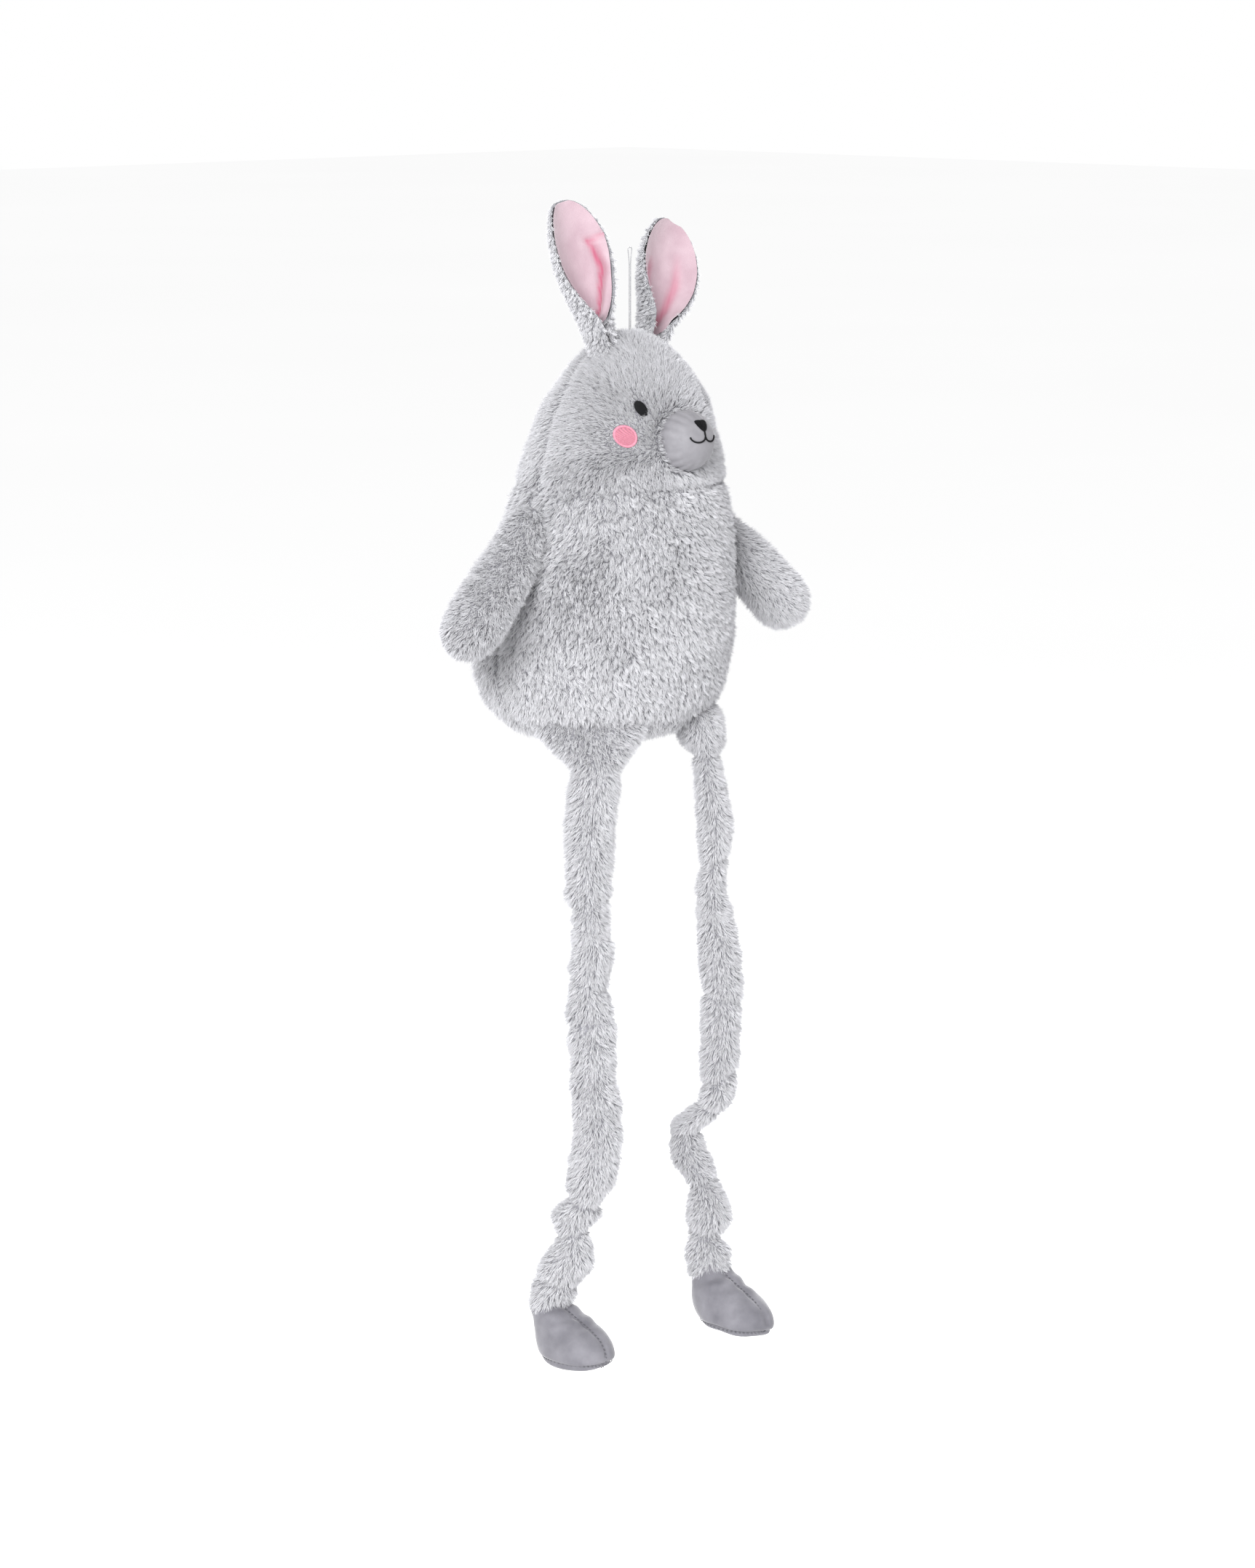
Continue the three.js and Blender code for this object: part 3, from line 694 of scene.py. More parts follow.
def muzzle_pucker(open_angle, turn):
    """Soft puckers that deepen towards the seam, and one tuck on the right side."""
    edge = np.clip((open_angle - 0.75) / 0.5, 0, 1)
    folds = -1.5 * edge * np.abs(np.sin(turn * 8.5 + 0.7 + 0.5 * np.sin(3 * turn))) ** 8
    tuck = -1.5 * np.exp(-((turn - 3.3) / 0.14) ** 2) * np.clip((open_angle - 0.75) * 2, 0, 1)
    return folds + tuck


DOME_ROWS, DOME_COLUMNS = 34, 96
dome_grid = dome_points(MUZZLE_SIZE, (0, MUZZLE_Y, FACE_Z), DOME_ROWS, DOME_COLUMNS, muzzle_pucker)
dome_poles = [[0, MUZZLE_Y - MUZZLE_SIZE[1], FACE_Z], [0, MUZZLE_Y + 5, FACE_Z]]
muzzle = cloth_piece("muzzle_velvet_dome", place(np.vstack([dome_grid, dome_poles])),
                     grid_faces(DOME_ROWS, DOME_COLUMNS, len(dome_grid), len(dome_grid) + 1),
                     muzzle_velvet)
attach(muzzle, "torso")
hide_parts("muzzle_cover", "muzzle_stuffing")

# ---------------------------------------------------------------------------------------------
# Embroidery: nose, mouth, eyes and cheeks are worked in glossy rayon thread straight onto the
# cloth. Each stitch is a thin spindle of thread; satin stitch lies side by side, the cheeks are
# filled with rows of short stitches inside a satin rim.
# ---------------------------------------------------------------------------------------------


def stitch_tree():
    """A spindle of thread on every point, turned and stretched along the point's own run."""
    tree = bpy.data.node_groups.new("stitches", "GeometryNodeTree")
    face = tree.interface
    face.new_socket("Places", in_out="INPUT", socket_type="NodeSocketGeometry")
    face.new_socket("Thread Width", in_out="INPUT", socket_type="NodeSocketFloat")
    face.new_socket("Thread", in_out="INPUT", socket_type="NodeSocketMaterial")
    face.new_socket("Stitches", in_out="OUTPUT", socket_type="NodeSocketGeometry")
    given = tree.nodes.new("NodeGroupInput").outputs
    ball = knot(tree, "GeometryNodeMeshUVSphere", {}, Segments=6, Rings=6, Radius=1.0)
    run = read(tree, "run", "FLOAT_VECTOR")
    turn = knot(tree, "FunctionNodeAlignRotationToVector", {"axis": "Z"}, Vector=run)
    half = maths(tree, "MULTIPLY", vectors(tree, "LENGTH", run), 0.56)
    radius = maths(tree, "MULTIPLY", given["Thread Width"], 0.5)
    size = knot(tree, "ShaderNodeCombineXYZ", {}, X=radius, Y=radius, Z=half)
    sewn = knot(tree, "GeometryNodeInstanceOnPoints", {}, Points=given["Places"],
                Instance=ball.outputs["Mesh"], Rotation=turn.outputs["Rotation"],
                Scale=size.outputs["Vector"])
    real = knot(tree, "GeometryNodeRealizeInstances", {}, Geometry=sewn.outputs["Instances"])
    round_off = knot(tree, "GeometryNodeSetShadeSmooth", {}, Geometry=real.outputs["Geometry"])
    dressed = knot(tree, "GeometryNodeSetMaterial", {}, Geometry=round_off.outputs["Geometry"],
                   Material=given["Thread"])
    result = tree.nodes.new("NodeGroupOutput")
    tree.links.new(dressed.outputs["Geometry"], result.inputs["Stitches"])
    return tree


STITCH_TREE = stitch_tree()


def stitches(name, runs, width, thread):
    """A piece of embroidery or seam from its stitches, each a pair of ends in the frame."""
    ends = np.asarray(runs, float).reshape(-1, 2, 3)
    mesh = bpy.data.meshes.new(name + "_places")
    mesh.from_pydata([tuple(p) for p in ends.mean(axis=1)], [], [])
    ground = bpy.data.objects.new(name + "_places", mesh)
    mark(ground, "run", "FLOAT_VECTOR", "POINT", ends[:, 1] - ends[:, 0])
    piece = apply_tree(name, ground, STITCH_TREE, {"Thread Width": width * MM, "Thread": thread})
    bpy.data.objects.remove(ground)
    return piece


def rayon(name, dark, light, roughness):
    """Embroidery thread: colour that shifts a little from strand to strand, and a silky gloss."""
    material, tree, surface = shader(name, roughness)
    tree.links.new(mottled(tree, 700, dark, light), surface.inputs["Base Color"])
    surface.inputs["Specular IOR Level"].default_value = 0.14
    return material


black_thread = rayon("black_rayon", (0.001, 0.001, 0.0015), (0.004, 0.004, 0.005), 0.5)
pink_thread = rayon("pink_rayon", (0.42, 0.15, 0.205), (0.50, 0.21, 0.265), 0.42)


def on_muzzle(x, z, lift):
    """A point on the muzzle's velvet, lifted off it."""
    wide, deep, tall = MUZZLE_SIZE
    fall = max(0.0, 1 - (x / wide) ** 2 - ((z - FACE_Z) / tall) ** 2)
    return np.array([x, MUZZLE_Y - (deep + lift) * math.sqrt(fall), z])


def on_head(x, z, lift):
    """A point on the front of the head, lifted off the backing cloth."""
    r = radius_at(z, PILE_HEIGHT)
    across = min(0.999, abs(x) / (WIDTH_RATIO * r))
    y = lean_at(z) - DEPTH_RATIO * r * math.sqrt(1 - across ** 2)
    out = np.array([x, (y - lean_at(z)) * 1.2, 0.0])
    return np.array([x, y, z]) + out / np.linalg.norm(out) * lift


def run_over(surface, start, end, piece_length, lift):
    """Cuts a run of thread into short stitches that follow the surface under them."""
    length = math.dist(start, end)
    count = max(1, round(length / piece_length))
    marks = [surface(start[0] + (end[0] - start[0]) * k / count,
                     start[1] + (end[1] - start[1]) * k / count, lift) for k in range(count + 1)]
    return [(place(a), place(b)) for a, b in zip(marks, marks[1:])]


def stem_stitch(surface, line, lift):
    """A drawn line: each stitch starts half-way along the one before it."""
    marks = [place(surface(x, z, lift)) for x, z in smooth_line(line, 4 * len(line))]
    return list(zip(marks, marks[2:]))


def nose_half_width(z):
    """Half the width of the nose at a height above its middle: a round-cornered triangle."""
    return np.interp(z, [-4.4, -3.8, -2, 0.2, 2.2, 3.6, 4.4], [1.3, 2.6, 4.2, 5.7, 6.5, 6.4, 4.6])


NOSE_Z = FACE_Z + 14.0
nose_runs = []
nose_z = -4.4
while nose_z <= 4.4:
    half = float(nose_half_width(nose_z))
    nose_runs += run_over(on_muzzle, (-half, NOSE_Z + nose_z), (half, NOSE_Z + nose_z), 4.0, 0.7)
    nose_z += 0.36
nose = stitches("nose_satin_stitch", nose_runs, 0.62, black_thread)
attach(nose, "torso")
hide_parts("nose_patch")

MOUTH_Z = FACE_Z + 10.0
mouth_runs = stem_stitch(on_muzzle, [(0, MOUTH_Z), (0, MOUTH_Z - 4.7)], 0.5)
for side in (-1, 1):
    arc = [(side * 7.0 * (1 - math.cos(a)), MOUTH_Z - 4.7 - 4.8 * math.sin(a))
           for a in np.linspace(0, 3.1, 10)]
    mouth_runs += stem_stitch(on_muzzle, arc, 0.5)
mouth = stitches("mouth_stem_stitch", mouth_runs, 1.6, black_thread)
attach(mouth, "torso")
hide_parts("mouth_embroidery")


def spot_runs(side, angle, z, outline, spacing, piece_length, lift, slant):
    """Rows of stitches that fill an outline centred on the side of the face."""
    centre = head_spot(side * angle, z, PILE_HEIGHT)
    runs = []
    reach = 14.0
    row = -reach
    count = 0
    while row <= reach:
        xs = np.linspace(-reach, reach, 141)
        u = xs * math.cos(slant) - row * math.sin(slant)
        v = xs * math.sin(slant) + row * math.cos(slant)
        inside = [outline(a, b) <= 1 for a, b in zip(u, v)]
        if any(inside):
            first, last = inside.index(True), len(inside) - 1 - inside[::-1].index(True)
            shift = (count % 3) * piece_length / 3
            cuts = np.arange(xs[first] - shift, xs[last], piece_length)
            cuts = np.clip(np.append(cuts, xs[last]), xs[first], xs[last])
            for a, b in zip(cuts, cuts[1:]):
                if b - a < 0.3:
                    continue
                ends = []
                for t in (a, b):
                    across = t * math.cos(slant) - row * math.sin(slant)
                    up = t * math.sin(slant) + row * math.cos(slant)
                    ends.append(place(on_head(centre[0] + across * math.cos(angle),
                                              centre[2] + up, lift)))
                runs.append(tuple(ends))
        row += spacing
        count += 1
    return runs


def rim_runs(side, angle, z, radius, width, lift, count):
    """Satin stitches set radially round a rim."""
    centre = head_spot(side * angle, z, PILE_HEIGHT)
    runs = []
    for k in range(count):
        turn = 2 * math.pi * k / count
        ends = []
        for r in (radius - width, radius):
            ends.append(place(on_head(centre[0] + r * math.cos(turn) * math.cos(angle),
                                      centre[2] + 0.9 * r * math.sin(turn), lift)))
        runs.append(tuple(ends))
    return runs


for side, word in ((-1, "right"), (1, "left")):
    tilt = -side * 0.25

    def eye_outline(u, v, tilt=tilt):
        """1 on the rim of the tilted oval eye, less inside it."""
        across = u * math.cos(tilt) + v * math.sin(tilt)
        up = -u * math.sin(tilt) + v * math.cos(tilt)
        return math.hypot(across / EYE_SIZE[0], up / EYE_SIZE[1])

    eye = stitches(f"eye_{word}_satin_stitch",
                   spot_runs(side, EYE_ANGLES[word], EYE_Z, eye_outline, 0.36, 5.0, 2.0,
                             0.5 * side),
                   0.66, black_thread)
    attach(eye, "torso")
    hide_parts(f"eye_{word}")
    fill = spot_runs(side, CHEEK_ANGLES[word], CHEEK_Z,
                     lambda u, v: math.hypot(u, v / 0.9) / (CHEEK_RADIUS - 1.2), 0.62, 3.2, 1.9,
                     0.0)
    rim = rim_runs(side, CHEEK_ANGLES[word], CHEEK_Z, CHEEK_RADIUS, 2.0, 2.3, 130)
    cheek = stitches(f"cheek_{word}_fill_and_rim", fill + rim, 0.7, pink_thread)
    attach(cheek, "torso")
    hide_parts(f"cheek_{word}")

# ---------------------------------------------------------------------------------------------
# Tail: a round tuft of the same plush, gathered over filling and sewn low on the back.
# ---------------------------------------------------------------------------------------------
TAIL_RADIUS = 25.0
TAIL_Z = 62.0
tail_core = TAIL_RADIUS - PILE_HEIGHT - 0.5
tail_y = float(lean_at(0)) + DEPTH_RATIO * 109 + 12


def ball(name, centre, radius, rows, columns, material, uneven=0.0, seed=1):
    """A closed ball of cloth, a little uneven, marked for pile that lies downwards."""
    rings, lays = [], []
    for i in range(1, rows + 1):
        rise = math.pi * i / (rows + 1)
        turn = np.arange(columns) * 2 * math.pi / columns
        d = np.stack([np.sin(rise) * np.cos(turn), np.sin(rise) * np.sin(turn),
                      np.full(columns, -math.cos(rise))], axis=1)
        rings.append(d)
        lays.append(np.stack([d[:, 0] * 0.2, d[:, 1] * 0.2, np.full(columns, -1.0)], axis=1))
    d = np.vstack(rings + [[[0, 0, -1]], [[0, 0, 1]]])
    points = np.array(centre) + d * (radius + uneven * lumps(d * radius, 30, seed))[:, None]
    piece = cloth_piece(name, place(points), grid_faces(rows, columns, rows * columns,
                                                        rows * columns + 1), material)
    mark(piece, "lay", "FLOAT_VECTOR", "POINT", np.vstack(lays + [[[1, 0, 0]], [[0, 1, 0]]]))
    mark(piece, "pile", "FLOAT", "POINT", np.ones(len(points)))
    mark(piece, "panel", "INT", "FACE", np.zeros(len(piece.data.polygons), int))
    return piece


tail = ball("tail_backing_cloth", (0, tail_y, TAIL_Z), tail_core, 24, 40, backing, 1.0, 5)
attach(tail, "torso")
tail_pile = grow("tail_pile", tail, 0, 1.1 * FEWER, seed=140, lean=0.35, stray=0.4)
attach(tail_pile, "torso")
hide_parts("tail_pompom")

# ---------------------------------------------------------------------------------------------
# Ears: a plush back with a pink velvet lining, turned right side out and sewn upright into the
# crown. They are unfilled, so the cloth cups forward and folds where it stands up.
# ---------------------------------------------------------------------------------------------
EAR_LENGTHS = {"right": 118.0, "left": 109.0}
EAR_PIVOT = (34.0, 2.0, 353.0)
EAR_CUP = 9.0
EAR_WAYS = {"right": (-25, 14, 112), "left": (55, 23, 92)}
LINING_STARTS = {"right": 3.0, "left": -4.0}
ear_backing, ear_backing_tree, ear_backing_surface = shader("ear_backing_cloth", 0.95)
ear_backing_tree.links.new(
    mottled(ear_backing_tree, 260, (0.17, 0.17, 0.185), (0.24, 0.24, 0.26)),
    ear_backing_surface.inputs["Base Color"])


def lining_velvet():
    """Pale pink velvet with painted shade that deepens it to rose down in its folds."""
    material, tree, surface = shader("pink_lining_velvet", 0.8)
    pale = mottled(tree, 55.0, (0.31, 0.215, 0.25), (0.37, 0.275, 0.31), 4.0)
    # painted shade: the lining is mixed towards deep rose where its folds lie in shadow
    fold_shade = wire(tree, "ShaderNodeAttribute")
    fold_shade.attribute_name = "fold_shade"
    mix = tree.nodes.new("ShaderNodeMix")
    mix.data_type = "RGBA"
    tree.links.new(fold_shade.outputs["Fac"], mix.inputs[0])
    tree.links.new(pale, mix.inputs[6])
    # deep rose of the painted fold shade
    mix.inputs[7].default_value = (0.33, 0.07, 0.125, 1)
    tree.links.new(mix.outputs[2], surface.inputs["Base Color"])
    napped(tree, surface, 1400.0)
    surface.inputs["Sheen Weight"].default_value = 0.4
    return material


pink_velvet = lining_velvet()
# along the ear: flat half width of the cloth, and how far round it curls to each side (radians)
EAR_CLOTH = [(0, 22, 3.0), (0.12, 26, 2.85), (0.22, 30, 2.25), (0.35, 34, 1.7), (0.5, 37, 1.35),
             (0.66, 35.5, 1.15), (0.8, 29.5, 1.0), (0.9, 21.5, 0.85), (0.96, 13.5, 0.75),
             (0.99, 6, 0.65), (1.0, 1.5, 0.6)]
ear_cloth_line = smooth_line(EAR_CLOTH, 120)


class Ear:
    """One ear's own directions: along it, across it and out of its front."""

    def __init__(self, side, word):
        self.length = EAR_LENGTHS[word]
        self.open = {"right": 0.97, "left": 0.81}[word]
        along = np.array(EAR_WAYS[word], float)
        self.along = along / np.linalg.norm(along)
        across = np.array([1.0, 0, 0]) - self.along[0] * self.along
        self.across = across / np.linalg.norm(across)
        self.front = np.cross(self.along, self.across)
        if self.front[1] > 0:
            self.front = -self.front
        self.root = np.array([side * EAR_PIVOT[0], EAR_PIVOT[1], EAR_PIVOT[2]]) - self.along * 9

    def section(self, share, q):
        """The cloth's half width and its curl at a share of the ear's length."""
        t = np.clip(q / self.length, 0, 1)
        wide = np.interp(t, ear_cloth_line[:, 0], ear_cloth_line[:, 1])
        curl = self.open * np.interp(t, ear_cloth_line[:, 0], ear_cloth_line[:, 2])
        return share * wide, wide / curl

    def spot(self, s, q, lift, curve):
        """A point from its place round the curled section, along the ear and off the cloth."""
        turn = s / curve
        p = (curve - lift) * np.sin(turn)
        n = curve - (curve - lift) * np.cos(turn) - EAR_CUP
        sway = 5.0 * np.sin(np.clip(q / self.length, 0, 1) * math.pi)
        return (self.root + np.outer(p, self.across) + np.outer(q, self.along)
                + np.outer(n - sway, self.front))


def ear_sheet(ear, name, share, span, taper, middle, thick, folds, fold_share, material):
    """A closed, curled leaf of cloth, and the marks its pile, folds and painted fold shade are
    read from.
    """
    points, pile, lay, fold_shade_rows = [], [], [], []
    rows, columns = 60, 64
    turn = np.arange(columns) * 2 * math.pi / columns
    for i in range(rows):
        q = span[0] + (span[1] - span[0]) * (1 - math.cos(math.pi * (i + 0.5) / rows)) / 2
        wide, curve = ear.section(share, q)
        wide *= np.clip((q - span[0]) / taper, 0.08, 1)
        s = wide * np.cos(turn)
        face = np.sin(turn)
        # deep is painted shade: how far the lining is darkened down in its folds
        shift, deep = folds(s / wide, q / ear.length)
        lift = middle + np.where(face > 0, thick[0], thick[1]) * face + shift * fold_share
        points.append(ear.spot(s, np.full(columns, q), lift, curve))
        inside = 0.0 if q > 12 else 0.8
        pile.append(np.where(face > 0.25, inside, 1.0))
        lay.append(np.tile(ear.along * -0.8, (columns, 1)) + np.outer(s / wide * 0.5, ear.across))
        fold_shade_rows.append(deep)
    points = np.vstack(points)
    poles = np.vstack([ear.spot(np.zeros(1), np.full(1, q), np.full(1, middle),
                                ear.section(share, q)[1]) for q in span])
    piece = cloth_piece(name, place(np.vstack([points, poles])),
                        grid_faces(rows, columns, len(points), len(points) + 1), material)
    mark(piece, "lay", "FLOAT_VECTOR", "POINT", np.vstack([*lay, [ear.along, ear.along]]))
    mark(piece, "pile", "FLOAT", "POINT", np.concatenate([*pile, [0.6, 0.6]]))
    # the painted fold shade, for the lining's colour
    mark(piece, "fold_shade", "FLOAT", "POINT", np.concatenate([*fold_shade_rows, [0, 0]]))
    mark(piece, "panel", "INT", "FACE", np.zeros(len(piece.data.polygons), int))
    return piece


def right_folds(s, t):
    """One deep fold runs up from the base and turns across below the tip. Returns the cloth's
    shift and the painted shade down in the fold, on its flank and in the crease.
    """
    line = np.interp(t, [0, 0.2, 0.45, 0.62, 0.7], [0.1, 0.48, 0.7, 0.6, 0.5])
    strength = float(np.interp(t, [0, 0.1, 0.5, 0.62, 0.72], [0.6, 1, 1, 0.7, 0]))
    valley = np.exp(-((s - line) / 0.055) ** 2)
    ridge = np.exp(-((s - line - 0.26) / 0.16) ** 2)
    crease = np.exp(-((t - 0.66 - 0.06 * (s - 0.5)) / 0.018) ** 2) * np.clip((s - 0.42) * 6, 0, 1)
    shift = (-4.2 * valley + 3.4 * ridge) * strength - 2.0 * crease
    # painted shade on the flank beside the valley
    side = np.exp(-((s - line - 0.1) / 0.12) ** 2) * strength
    return shift, np.clip(valley * strength + 0.45 * side + 0.4 * crease, 0, 1)


def left_folds(s, t):
    """Two soft folds meet at the base. Returns the cloth's shift and the painted shade down in the
    folds.
    """
    inner = np.interp(t, [0, 0.25, 0.5, 0.7], [0.15, 0.42, 0.52, 0.45])
    outer = np.interp(t, [0.3, 0.45, 0.62], [-0.2, -0.3, -0.38])
    near = np.exp(-((s - inner) / 0.11) ** 2) * np.interp(t, [0, 0.1, 0.5, 0.78], [0.8, 1, 0.7, 0])
    far = np.exp(-((s - outer) / 0.09) ** 2) * np.interp(t, [0.28, 0.42, 0.55, 0.64],
                                                         [0, 0.8, 0.8, 0])
    # the second value is painted shade down in the folds
    return -3.8 * near - 2.6 * far, np.clip(0.85 * near + 0.75 * far, 0, 1)


for side, word, folds in ((-1, "right", right_folds), (1, "left", left_folds)):
    ear = Ear(side, word)
    back = ear_sheet(ear, f"ear_{word}_back_cloth", 0.98, (-12, ear.length - 1.5), 1, -2.2,
                     (1.2, 1.8), folds, 0.5, ear_backing)
    lining = ear_sheet(ear, f"ear_{word}_velvet_lining", 0.97,
                       (LINING_STARTS[word], ear.length - 2), 15, 0.1, (1.0, 0.7), folds, 1.0,
                       pink_velvet)
    ear_pile = grow(f"ear_{word}_pile", back, 0, 1.9 * FEWER, seed=150 + side, length=5.6,
                    lean=0.55, stray=0.34, spacing=2.2, pull=0.68)
    for piece in (back, lining, ear_pile):
        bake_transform(piece)
    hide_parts(f"ear_{word}_back")
    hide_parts(f"ear_{word}_lining")

# ---------------------------------------------------------------------------------------------
# Arms: short plush sleeves, filled softly, closed flat at the shoulder and sewn into the flank
# seam below the neck, so they stand away from the body as they hang.
# ---------------------------------------------------------------------------------------------
ARM_WIDE = (17, 20, 21.5, 22, 22.5, 22, 18.5, 13.5, 7)
ARM_DEEP = (12, 16, 20, 22, 22.5, 22, 18.5, 13.5, 7)
ARM_COLUMNS = 48
ARM_RINGS = 60


def limb_points(route, across, deep, count, columns):
    """Rings of a soft tube along a route, each an ellipse with its own two half widths."""
    stations = np.c_[np.asarray(route, float), across, deep]
    line = smooth_line(stations, count)
    centre, wide, tall = line[:, :3], line[:, 3], line[:, 4]
    way = np.gradient(centre, axis=0)
    way /= np.linalg.norm(way, axis=1)[:, None]
    side = np.cross(way, np.array([0.0, 1.0, 0.0]))
    side /= np.linalg.norm(side, axis=1)[:, None]
    other = np.cross(way, side)
    angles = np.arange(columns) * 2 * math.pi / columns
    rings = []
    for i in range(count):
        rings.append(centre[i] + np.outer(np.cos(angles) * wide[i], side[i])
                     + np.outer(np.sin(angles) * tall[i], other[i]))
    points = np.vstack(rings)
    lay = np.repeat(way, columns, axis=0)
    return points, lay, centre, way


def closed_tube(name, points, lay, centre, way, count, columns, ends, material, pile=None):
    """Closes a run of rings with a pole at each end and marks it for pile."""
    poles = np.vstack([centre[0] - way[0] * ends[0], centre[-1] + way[-1] * ends[1]])
    piece = cloth_piece(name, place(np.vstack([points, poles])),
                        grid_faces(count, columns, len(points), len(points) + 1), material)
    mark(piece, "lay", "FLOAT_VECTOR", "POINT", np.vstack([lay, way[:1], way[-1:]]))
    height = np.ones(len(points) + 2) if pile is None else np.append(pile, [1, 1])
    mark(piece, "pile", "FLOAT", "POINT", height)
    mark(piece, "panel", "INT", "FACE", np.zeros(len(piece.data.polygons), int))
    return piece


ARM_HANG = {
    "right": [(-94, 16, 194), (-109, 14, 181), (-127, 12, 163), (-146, 9, 146), (-164, 6, 129),
              (-181, 4, 112), (-188.5, 3, 105), (-193, 2.5, 100.5), (-196, 2, 98)],
    "left": [(92, 15, 186), (108, 11, 172), (127, 6, 154), (145, 0, 137), (161, -6, 121),
             (175, -11, 105), (182, -14, 98), (186, -16, 94), (188.5, -17, 91.5)],
}

for side, word in ((-1, "right"), (1, "left")):
    points, lay, centre, way = limb_points(ARM_HANG[word], ARM_WIDE, ARM_DEEP, ARM_RINGS,
                                           ARM_COLUMNS)
    from_middle = points - np.repeat(centre, ARM_COLUMNS, axis=0)
    outward = from_middle / np.linalg.norm(from_middle, axis=1)[:, None]
    points = points + outward * (lumps(points, 46, 21 + side) * 1.1)[:, None]
    arm = closed_tube(f"arm_{word}_cloth", points, lay, centre, way, ARM_RINGS, ARM_COLUMNS,
                      (2, 3.5), backing)
    arm_pile = grow(f"arm_{word}_pile", arm, 0, 1.2 * FEWER, seed=160 + side)
    for piece in (arm, arm_pile):
        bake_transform(piece)
    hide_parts(f"arm_{word}_stuffing")
    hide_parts(f"arm_{word}_skin")

# ---------------------------------------------------------------------------------------------
# Legs: very long, almost empty plush tubes. Each starts in a gathered cone at the front of the
# seat and hangs limp, so it twists, pinches and folds on its way to the foot. Each is made as
# three overlapping lengths: hip and thigh, knee, and shin with the cuff over the ankle.
# ---------------------------------------------------------------------------------------------
ANKLE_Z = -466.0
LEG_TURN = -0.785                # how far the tubes are turned about their length

# height, place across, place fore and aft, half width, half depth
LEG_HANG = {
    "right": [(41, 49, -1, 28, 8), (30, 55, -7, 40, 14), (18, 59, -12, 43, 17),
              (4, 62, -19, 33, 18), (-9, 65, -24, 20, 18),
              (-16, 66, -25, 17.5, 17), (-28, 67, -25, 18.5, 17),
              (-48, 68, -22, 18.0, 16),
              (-85, 69, -21, 17.0, 16), (-118, 71, -21, 15.6, 17),
              (-135, 72, -24, 13.0, 17), (-165, 73, -29, 14.8, 16),
              (-196, 74, -25, 14.2, 16), (-225, 74, -27, 17.6, 14),
              (-250, 74, -29, 17.4, 15), (-275, 74, -30, 16.0, 15),
              (-305, 74, -34, 18.0, 14), (-340, 74, -34, 18.2, 14),
              (-365, 74, -27, 18.4, 15), (-383, 74, -21, 12.6, 14),
              (-398, 74, -10, 18.0, 16), (-415, 74, -6, 11.8, 13),
              (-430, 74, -4, 15.6, 15), (-446, 74, 3, 20.0, 18),
              (-460, 74, 11, 17.4, 17), (-474, 74, 19, 16.4, 17),
              (-488, 74, 24, 14.6, 15)],
    "left": [(31, 58, -18, 9, 20), (24, 60, -20, 15.5, 27), (14, 62, -22, 18, 30),
             (3, 63, -23, 17.5, 27), (-6, 64, -24, 14, 20),
             (-13, 65.5, -26, 9, 16), (-24, 66, -28, 9, 18),
             (-45, 67, -32, 9.8, 19),
             (-68, 68, -34, 11.8, 17), (-95, 69, -35, 10.8, 18),
             (-124, 70, -29, 8.2, 18), (-150, 71, -31, 11.0, 17),
             (-188, 73, -36, 14.8, 15), (-221, 74, -39, 15.8, 14),
             (-254, 74, -37, 14.0, 15), (-286, 74, -36, 13.6, 15),
             (-312, 74, -34, 12.6, 16), (-326, 74, -28, 11.4, 15),
             (-338, 73, -14, 12.8, 15),
             (-351, 72, 1, 11.0, 13), (-366, 72, 1, 12.6, 14),
             (-382, 73, -6, 15.0, 14), (-398, 74, -17, 11.6, 13),
             (-413, 74, -23, 14.4, 15), (-428, 74, -24, 17.4, 16),
             (-443, 74, -20, 12.6, 13), (-456, 74, -22, 17.0, 16),
             (-468, 74, -23, 15.6, 16), (-480, 74, -24, 14.0, 14)],
}
LEG_STEP = 2.0
LEG_COLUMNS = 44
leg_parts = (("hip_and_thigh", 40, -158, "torso", "thigh", (4, -36)),
             ("knee", -150, -352, "thigh", "shin", (-228, -272)),
             ("shin_and_cuff", -344, -500, "shin", "foot", (-456, -476)))
leg_nodes = {"hip_and_thigh": ["hip_gusset_{}", "thigh_{}_skin", "thigh_{}_stuffing"],
             "knee": ["shin_{}_skin", "shin_{}_stuffing"], "shin_and_cuff": []}


# where a leg is pinched across: height, and how steeply the pinch slants
PINCHES = {"right": [(-127, 0.35), (-150, -0.3), (-196, -0.4), (-228, 0.3), (-352, 0.4),
                     (-383, -0.35), (-415, 0.4), (-468, -0.3)],
           "left": [(-16, 0.0), (-110, 0.4), (-228, -0.3), (-300, 0.3), (-330, -0.5), (-352, 0.3),
                    (-398, 0.4), (-442, -0.35)]}


def pinch_at(points, word):
    """0 to 1, how deep each point lies in a pinch."""
    across = 0.707 * (points[:, 0] - points[:, 1])
    across = across - np.mean(across)
    behind = np.sin(0.045 * (points[:, 0] + points[:, 1]) + points[:, 2] * 0.3)
    total = np.zeros(len(points))
    for z, slant in PINCHES[word]:
        total += groove(points[:, 2] - z - slant * across - 2 * behind, 3.4)
    return np.clip(total, 0, 1)


def wrinkles(points, seed):
    """Loose cloth: slanting folds that come and go down the tube."""
    z = points[:, 2]
    slant = np.sin(z * 0.21 + points[:, 0] * 0.11 + seed) * np.sin(z * 0.083 + points[:, 1] * 0.16)
    return 1.1 * slant + 0.9 * lumps(points, 26, seed)


